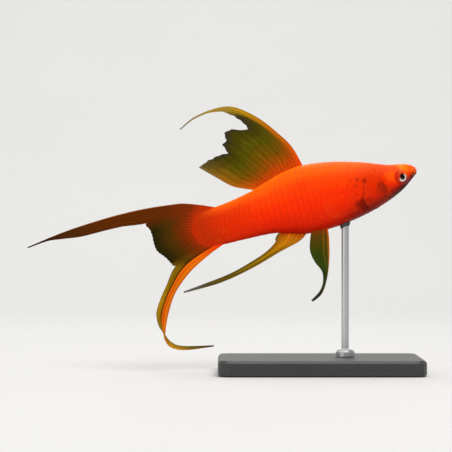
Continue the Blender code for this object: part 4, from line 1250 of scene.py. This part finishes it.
class SWORDTAIL_OT_dorsal(bpy.types.Operator):
    """Build the dorsal fin and its filament"""
    bl_idname = "swordtail.dorsal"
    bl_label = "Dorsal fin"

    def execute(self, context):
        rays = context.scene.swordtail_fins.dorsal_rays
        across, along = fin_shares(rays, DORSAL_ROWS)
        grid = blade(fin_base(DORSAL_BASE, back, -SINK), DORSAL_LEAD, DORSAL_TRAIL, across, along,
                     curve(DORSAL_EDGE, smooth=False))
        grid = notched(grid, across, rays, DORSAL_NOTCH)
        size, wave_along, wave_across, phase = DORSAL_WAVE
        lean = np.sin(along * wave_along)[:, None] * np.sin(across * wave_across + phase)
        grid[..., 1] += size * lean * along[:, None]
        olive = context.scene.swordtail_colours.olive
        stops = [(0.0, 222, 66, 3), (0.1, 188, 66, 2), (0.24, 146, 72, 2), (0.4, 108, 76, 2), (0.6, olive),
                 (0.84, 62, 58, 4), (0.95, 54, 50, 24), (1.0, 48, 44, 40)]
        gold = [(0.0, 230, 70, 3), (0.4, 192, 98, 6), (0.8, 182, 130, 16), (1.0, 168, 140, 40)]
        edges = [(0.0, 0.16, 0.9, gold),
                 (1.0, 0.2, 0.6, [(0.0, 226, 90, 8), (0.5, 170, 104, 12), (1.0, 110, 92, 40)]),
                 (1.0, 0.025, 0.6, [(0.0, 220, 120, 40), (1.0, 150, 120, 84)])]
        material = fin_material("painted_dorsal_fin", rays, stops, edges)
        surface = sheet(grid, across, along)
        add_fin("dorsal_fin_membrane", surface, rays, material, ("dorsal_fin",))
        self.add_filament(along)
        return {"FINISHED"}

    def add_filament(self, along):
        """The thread that the fin's first rays run out into."""
        across = np.linspace(0, 1, FILAMENT_COLUMNS)
        grid = ribbon(FILAMENT_UPPER, FILAMENT_LOWER, across, along)
        stops = [(0.0, 150, 124, 44), (0.3, 160, 130, 48), (1.0, 128, 116, 84)]
        edges = [(0.0, 0.5, 0.5, [(0.0, 186, 146, 44), (1.0, 140, 124, 84)])]
        material = fin_material("painted_filament", 1, stops, edges, streak=0.3)
        add_fin("dorsal_fin_filament", sheet(grid, across, along), 1, material,
                ("dorsal_filament",), strength=0.85, thinning=0.6, first=0.2)


def swayed(points):
    """The tail fin's points, drifting sideways behind the stalk."""
    past = np.maximum(points[:, 0] - STANDARD_LENGTH, 0.0) / SWAY_LENGTH
    return points - np.stack([0 * past, TAIL_SWAY * past ** 2, 0 * past], axis=-1)


def eased_rows(grid, row, reach):
    """The grid with its rays smoothed where two stretches of them meet."""
    first, last = row - reach, row + reach
    eased = grid.copy()
    for _ in range(EASING_ROUNDS):
        sides = eased[first - 1:last - 1] + 2 * eased[first:last] + eased[first + 1:last + 1]
        eased[first:last] = sides / 4
    return eased


def tail_rear(share):
    """The web's rear edge: cut across where the upper lobe starts, free, and cut where the lower starts."""
    share = np.asarray(share)
    second = 1 - LOWER_LOBE
    upper_cut = curve([CAUDAL_UPPER_EDGE[-1], WEB_EDGE[0]])
    lower_cut = curve([WEB_EDGE[-1], CAUDAL_LOWER_EDGE[-1]])
    points = curve(WEB_EDGE)((share - UPPER_LOBE) / (second - UPPER_LOBE))
    points = np.where((share < UPPER_LOBE)[..., None], upper_cut(share / UPPER_LOBE), points)
    return np.where((share > second)[..., None], lower_cut((share - second) / LOWER_LOBE), points)


def tail_web(across, along):
    """The tail fin's grid of points as far as its lobes, folded where the lower one starts."""
    turn = np.linspace(0, math.pi, TAIL_ROOT_POINTS)
    s = stalk_end(turn) - TAIL_ROOT[0]
    base = list(zip(s, body_point(s, turn)[:, 2] * TAIL_ROOT[1]))
    web = blade(base, CAUDAL_UPPER_EDGE, CAUDAL_LOWER_EDGE, across, along, tail_rear)
    from_outer = np.clip((1 - across) / LOWER_LOBE, 0.0, 1.0)
    web[..., 1] += lyre_fold(from_outer) * (from_outer < 1) * along[:, None]
    return web


def lower_lobe(across, along):
    """The lower lobe's grid of points, from its outer edge inwards, folded and turned edge on once."""
    q = across[:, None]
    lobe = curve(LYRE_OUTER_EDGE)(along)[:, None] * (1 - q) + curve(LYRE_INNER_EDGE)(along)[:, None] * q
    untwisted = np.clip((LYRE_TWIST_PLACE - along) / (2 * LYRE_TWIST_REACH), 0.0, 1.0)
    lobe[..., 1] += lyre_fold(across) * untwisted[:, None]
    twist = bump(along, LYRE_TWIST_PLACE, LYRE_TWIST_REACH)
    lobe[..., 1] += LYRE_TWIST_HALF * (2 * across - 1) * twist[:, None]
    return lobe


def with_lobe(surface, corner, grid, across, along):
    """The sheet with a lobe's rows after the first, which joins it from the point numbered corner on."""
    points, places, faces = surface
    rows, width = grid.shape[:2]
    more, more_places, _ = sheet(grid, across, along)
    numbers = len(points) - width + np.arange(rows * width).reshape(rows, width)
    numbers[0] = corner + np.arange(width)
    return (np.vstack([points, more[width:]]), np.vstack([places, more_places[width:]]),
            faces + quads_between(numbers))


class SWORDTAIL_OT_tail(bpy.types.Operator):
    """Build the tail fin, its two long lobes and the twist and curl of the lower one"""
    bl_idname = "swordtail.tail"
    bl_label = "Tail fin"

    def execute(self, context):
        rays = context.scene.swordtail_fins.caudal_rays
        columns = POINTS_PER_RAY * rays
        first, second = round(UPPER_LOBE * columns), round((1 - LOWER_LOBE) * columns)
        across = np.linspace(0, 1, columns + 1)
        along, sword_along, lyre_along = (np.linspace(0, 1, rows) for rows in TAIL_ROWS)
        web = tail_web(across, along)
        rows = len(along)
        sword = ribbon(SWORD_UPPER_EDGE, SWORD_LOWER_EDGE, np.linspace(0, 1, first + 1), sword_along)
        lyre = lower_lobe(np.linspace(1, 0, columns - second + 1), lyre_along)
        upper = eased_rows(np.concatenate([web[:, :first + 1], sword[1:]]), rows - 1, EASED_ROWS[0])
        lower = eased_rows(np.concatenate([web[:, second:], lyre[1:]]), rows - 1, EASED_ROWS[1])
        web[:, :first + 1], web[:, second:] = upper[:rows], lower[:rows]
        free = slice(first + 1, second)
        web[:, free] = notched(web[:, free], across[free], rays, WEB_NOTCH)
        surface = sheet(web, across, along * WEB_LENGTH)
        corner = (rows - 1) * (columns + 1)
        surface = with_lobe(surface, corner, upper[rows - 1:], across[:first + 1],
                            WEB_LENGTH + (1 - WEB_LENGTH) * sword_along)
        points, places, faces = with_lobe(surface, corner + second, lower[rows - 1:], across[second:],
                                          WEB_LENGTH + (1 - WEB_LENGTH) * lyre_along)
        material = caudal_material(context.scene.swordtail_colours, rays)
        add_fin("tail_fin", (swayed(points), places, faces), rays, material,
                ("caudal_web", "caudal_lobe_upper", "caudal_lobe_lower", "caudal_curl"), thinning=0.55)
        return {"FINISHED"}


class SWORDTAIL_OT_anal(bpy.types.Operator):
    """Build the long gonopodium and the hook behind its root"""
    bl_idname = "swordtail.anal"
    bl_label = "Gonopodium"

    def execute(self, context):
        across, along = fin_shares(GONOPODIUM_RAYS, GONOPODIUM_ROWS)
        base = fin_base(GONOPODIUM_BASE, belly, SINK)
        grid = blade(base, GONOPODIUM_FRONT, GONOPODIUM_REAR, across, along)
        stops = [(0.0, 216, 78, 6), (0.08, 190, 118, 10), (0.3, 132, 106, 12), (0.6, 104, 90, 18),
                 (0.8, 98, 84, 36), (0.9, 136, 130, 118), (1.0, 176, 174, 174)]
        ochre = [(0.0, 222, 120, 8), (0.25, 214, 152, 12), (0.7, 142, 118, 26), (1.0, 128, 124, 122)]
        edges = [(0.0, 0.2, 0.7, [(0.0, 190, 118, 20), (0.5, 170, 136, 46), (1.0, 128, 124, 122)]),
                 (0.55, 0.2, 0.75, ochre),
                 (1.0, 0.3, 0.6, [(0.0, 120, 72, 8), (0.4, 76, 64, 10), (1.0, 110, 104, 96)])]
        material = fin_material("painted_gonopodium", GONOPODIUM_RAYS, stops, edges, streak=0.55)
        surface = sheet(grid, across, along)
        add_fin("anal_fin", surface, GONOPODIUM_RAYS, material, ("gonopodium",),
                strength=1.25, thinning=0.7)
        self.add_hook(material)
        return {"FINISHED"}

    def add_hook(self, material):
        """A closed round piece along the hook's path, thinning to its end."""
        along, spin = np.linspace(0, 1, HOOK_RINGS), circle(HOOK_SIDES)
        path = curve(ANAL_HOOK)(along)
        radii = HOOK_RADIUS * np.sqrt(np.clip(HOOK_END - along ** 2, 0.0, 1.0))
        run = np.gradient(path, axis=0)
        run /= np.linalg.norm(run, axis=1, keepdims=True)
        over = np.stack([-run[:, 2], 0 * along, run[:, 0]], axis=-1)
        ring = over[:, None] * np.cos(spin)[:, None] + np.array([0.0, 1.0, 0.0]) * np.sin(spin)[:, None]
        points, places, _ = sheet(path[:, None] + ring * radii[:, None, None], spin / FULL_TURN, along)
        faces = capped_faces(HOOK_RINGS, HOOK_SIDES)
        add_piece("anal_fin_hook", to_world(points), faces, material, maps={"Rays": places})


class SWORDTAIL_OT_pelvic(bpy.types.Operator):
    """Build the two pelvic fins"""
    bl_idname = "swordtail.pelvic"
    bl_label = "Pelvic fins"

    def execute(self, context):
        stops = [(0.0, 140, 52, 6), (0.1, 84, 62, 8), (0.3, 48, 62, 8), (0.6, 40, 66, 18),
                 (0.78, 84, 84, 44), (0.9, 70, 72, 62), (1.0, 96, 96, 92)]
        lead = [(0.0, 226, 84, 8), (0.3, 186, 108, 16), (0.6, 140, 100, 24), (0.8, 100, 90, 48),
                (1.0, 96, 96, 92)]
        edges = [(0.0, 0.16, 0.9, lead),
                 (0.3, 0.1, 0.5, [(0.0, 150, 90, 10), (0.5, 104, 88, 16), (1.0, 90, 90, 80)])]
        material = fin_material("painted_pelvic_fin", PELVIC_RAYS, stops, edges)
        across, along = fin_shares(PELVIC_RAYS, PELVIC_ROWS)
        base = fin_base(PELVIC_BASE, lambda s: under_side(s, PELVIC_HALF_SPREAD / half_width(s)), SINK)
        grid = blade(base, PELVIC_FRONT, PELVIC_REAR, across, along)
        spread = PELVIC_HALF_SPREAD + PELVIC_SPLAY * np.maximum(PELVIC_DROP_START - grid[..., 2], 0.0)
        for side, tag in SIDES:
            grid[..., 1] = side * spread
            surface = sheet(grid, across, along)
            add_fin("pelvic_membrane_" + tag, surface, PELVIC_RAYS, material,
                    ("pelvic_fin_" + tag,), strength=0.9, thinning=0.6)
        return {"FINISHED"}


class SWORDTAIL_OT_pectoral(bpy.types.Operator):
    """Build the two clear pectoral fins"""
    bl_idname = "swordtail.pectoral"
    bl_label = "Pectoral fins"

    def execute(self, context):
        stops = [(0.0, 244, 50, 3), (0.3, 248, 56, 4), (1.0, 250, 84, 16)]
        material = fin_material("clear_pectoral_fin", PECTORAL_RAYS, stops, streak=0.3, alpha=(0.015, 0.1))
        root, high, low = PECTORAL_BASE
        across, along = fin_shares(PECTORAL_RAYS, PECTORAL_ROWS)
        v, t = np.meshgrid(along, across, indexing="ij")
        height = high + (low - high) * t
        slope = np.radians(PECTORAL_FAN[0] + (PECTORAL_FAN[1] - PECTORAL_FAN[0]) * t)
        reach = PECTORAL_LENGTH * v * (1 - PECTORAL_ROUNDING * (t - PECTORAL_LONGEST) ** 2)
        bulge = PECTORAL_BULGE * (2 * t - 1) * np.sin(math.pi * v)
        share = np.abs(height - level(root)) / (level(root) - belly(root))
        outward = half_width(root) * rounded(share) - PECTORAL_SINK + reach * math.sin(PECTORAL_SPREAD)
        backward = root + reach * np.cos(slope) * math.cos(PECTORAL_SPREAD)
        for side, tag in SIDES:
            grid = np.stack([backward, side * outward, height - reach * np.sin(slope) - bulge], axis=-1)
            surface = sheet(notched(grid, across, PECTORAL_RAYS, PECTORAL_NOTCH), across, along)
            add_fin("pectoral_membrane_" + tag, surface, PECTORAL_RAYS, material,
                    ("pectoral_fin_" + tag,), strength=0.7)
        return {"FINISHED"}


def belly_over(x, y):
    """World height of the body's underside over world places x and y, found by halving, in mm."""
    low, high = (np.full(np.shape(x), height) for height in BELLY_LIMITS)
    for _ in range(HALVINGS):
        z = (low + high) / 2
        ahead, above = x / MM - SNOUT_X, z - SNOUT_Z
        s = -(ahead * math.cos(PITCH) + above * math.sin(PITCH))
        h = -ahead * math.sin(PITCH) + above * math.cos(PITCH)
        under = h < under_side(s, np.clip(np.abs(y) / MM / half_width(s), 0.0, 1.0))
        low, high = np.where(under, z, low), np.where(under, high, z)
    return (low + high) / 2


class SWORDTAIL_OT_stand(bpy.types.Operator):
    """Finish the stand and lay a soft pad between the rod and the belly"""
    bl_idname = "swordtail.stand"
    bl_label = "Stand"

    def execute(self, context):
        steel = steel_material()
        finishes = {"stand_base": base_material(), "stand_collar": steel, "stand_rod": steel}
        for node, material in finishes.items():
            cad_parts[node].data.materials.clear()
            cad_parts[node].data.materials.append(material)
        low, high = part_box("stand_rod")
        radius = (high.x - low.x) / 2
        grow, rise = np.array(PAD_RINGS).T[..., None]
        x = (low.x + high.x) / 2 + grow * radius * np.cos(circle(PAD_POINTS))
        y = grow * radius * np.sin(circle(PAD_POINTS))
        points = np.stack([x, y, (belly_over(x, y) + rise) * MM], axis=-1).reshape(-1, 3)
        add_piece("rod_pad", points, capped_faces(*x.shape), pad_material())
        return {"FINISHED"}


class SWORDTAIL_OT_stage(bpy.types.Operator):
    """Build the floor, the lights and the camera"""
    bl_idname = "swordtail.stage"
    bl_label = "Stage"

    def execute(self, context):
        settings = context.scene.swordtail_stage
        self.add_floor(settings.floor)
        for name, (place, aim, size, share, colour) in LIGHTS.items():
            light = bpy.data.lights.new(name, "AREA")
            light.energy, light.size, light.color = settings.key_power * share, size, colour
            lamp = add_object(name, light)
            lamp.location = place
            lamp.rotation_euler = (Vector(aim) - Vector(place)).to_track_quat("-Z", "Y").to_euler()
        world = bpy.data.worlds.new("studio")
        world.use_nodes = True
        world.node_tree.nodes["Background"].inputs["Color"].default_value = SKY
        world.node_tree.nodes["Background"].inputs["Strength"].default_value = SKY_STRENGTH
        context.scene.world = world
        self.add_camera(settings.camera_distance)
        context.scene.view_settings.view_transform = "Standard"
        return {"FINISHED"}

    def add_floor(self, colour):
        """A floor that bends up into a backdrop behind the model."""
        bend = np.linspace(0, math.pi / 2, BEND_STEPS)
        wall = BEND_START + BEND_RADIUS
        depth = np.concatenate([[FLOOR_FRONT], BEND_START + BEND_RADIUS * np.sin(bend), [wall]])
        rise = np.concatenate([[0.0], BEND_RADIUS * (1 - np.cos(bend)), [WALL_HEIGHT]]) - FLOOR_DROP
        points = [(x, float(y), float(z)) for y, z in zip(depth, rise) for x in (-FLOOR_HALF, FLOOR_HALF)]
        mesh = bpy.data.meshes.new("floor_sweep")
        mesh.from_pydata(points, [], grid_faces(len(depth), 2))
        mesh.materials.append(floor_material(tuple(colour)))
        mesh.shade_smooth()
        add_object("floor_sweep", mesh)

    def add_camera(self, distance):
        camera = bpy.data.cameras.new("camera")
        camera.sensor_width = SENSOR_WIDTH
        camera.lens = SENSOR_WIDTH * distance / (FRAME_PIXELS / PIXELS_PER_MM * MM)
        camera.clip_start = 0.01
        eye = add_object("camera", camera)
        eye.location = (MODEL_CENTRE[0], -distance, MODEL_CENTRE[2])
        eye.rotation_euler = (math.pi / 2, 0.0, 0.0)
        bpy.context.scene.camera = eye


class SWORDTAIL_PT_panel(bpy.types.Panel):
    """The steps that build the swordtail, and its settings"""
    bl_label = "Swordtail"
    bl_idname = "SWORDTAIL_PT_panel"
    bl_space_type = "VIEW_3D"
    bl_region_type = "UI"
    bl_category = "Swordtail"

    def draw(self, context):
        for step in STEPS:
            self.layout.operator(step.bl_idname)
        for title in SETTINGS:
            group = getattr(context.scene, title)
            box = self.layout.box()
            for name in group.__annotations__:
                box.prop(group, name)


SETTINGS = {
    "swordtail_body": SwordtailBodySettings,
    "swordtail_fins": SwordtailFinSettings,
    "swordtail_colours": SwordtailColourSettings,
    "swordtail_stage": SwordtailStageSettings,
}
STEPS = (SWORDTAIL_OT_skin, SWORDTAIL_OT_scales, SWORDTAIL_OT_eyes, SWORDTAIL_OT_dorsal,
         SWORDTAIL_OT_tail, SWORDTAIL_OT_anal, SWORDTAIL_OT_pelvic, SWORDTAIL_OT_pectoral,
         SWORDTAIL_OT_stand, SWORDTAIL_OT_stage)


def register():
    for kind in SETTINGS.values():
        bpy.utils.register_class(kind)
    for title, kind in SETTINGS.items():
        setattr(bpy.types.Scene, title, PointerProperty(type=kind))
    for kind in STEPS + (SWORDTAIL_PT_panel,):
        bpy.utils.register_class(kind)


def unregister():
    for kind in (SWORDTAIL_PT_panel,) + STEPS[::-1]:
        bpy.utils.unregister_class(kind)
    for title in SETTINGS:
        delattr(bpy.types.Scene, title)
    for kind in reversed(list(SETTINGS.values())):
        bpy.utils.unregister_class(kind)


def main():
    register()
    build_level_place()
    build_markings(bpy.context.scene.swordtail_colours)
    build_rays()
    for step in STEPS:
        family, name = step.bl_idname.split(".")
        getattr(getattr(bpy.ops, family), name)()


if __name__ == "__main__":
    main()
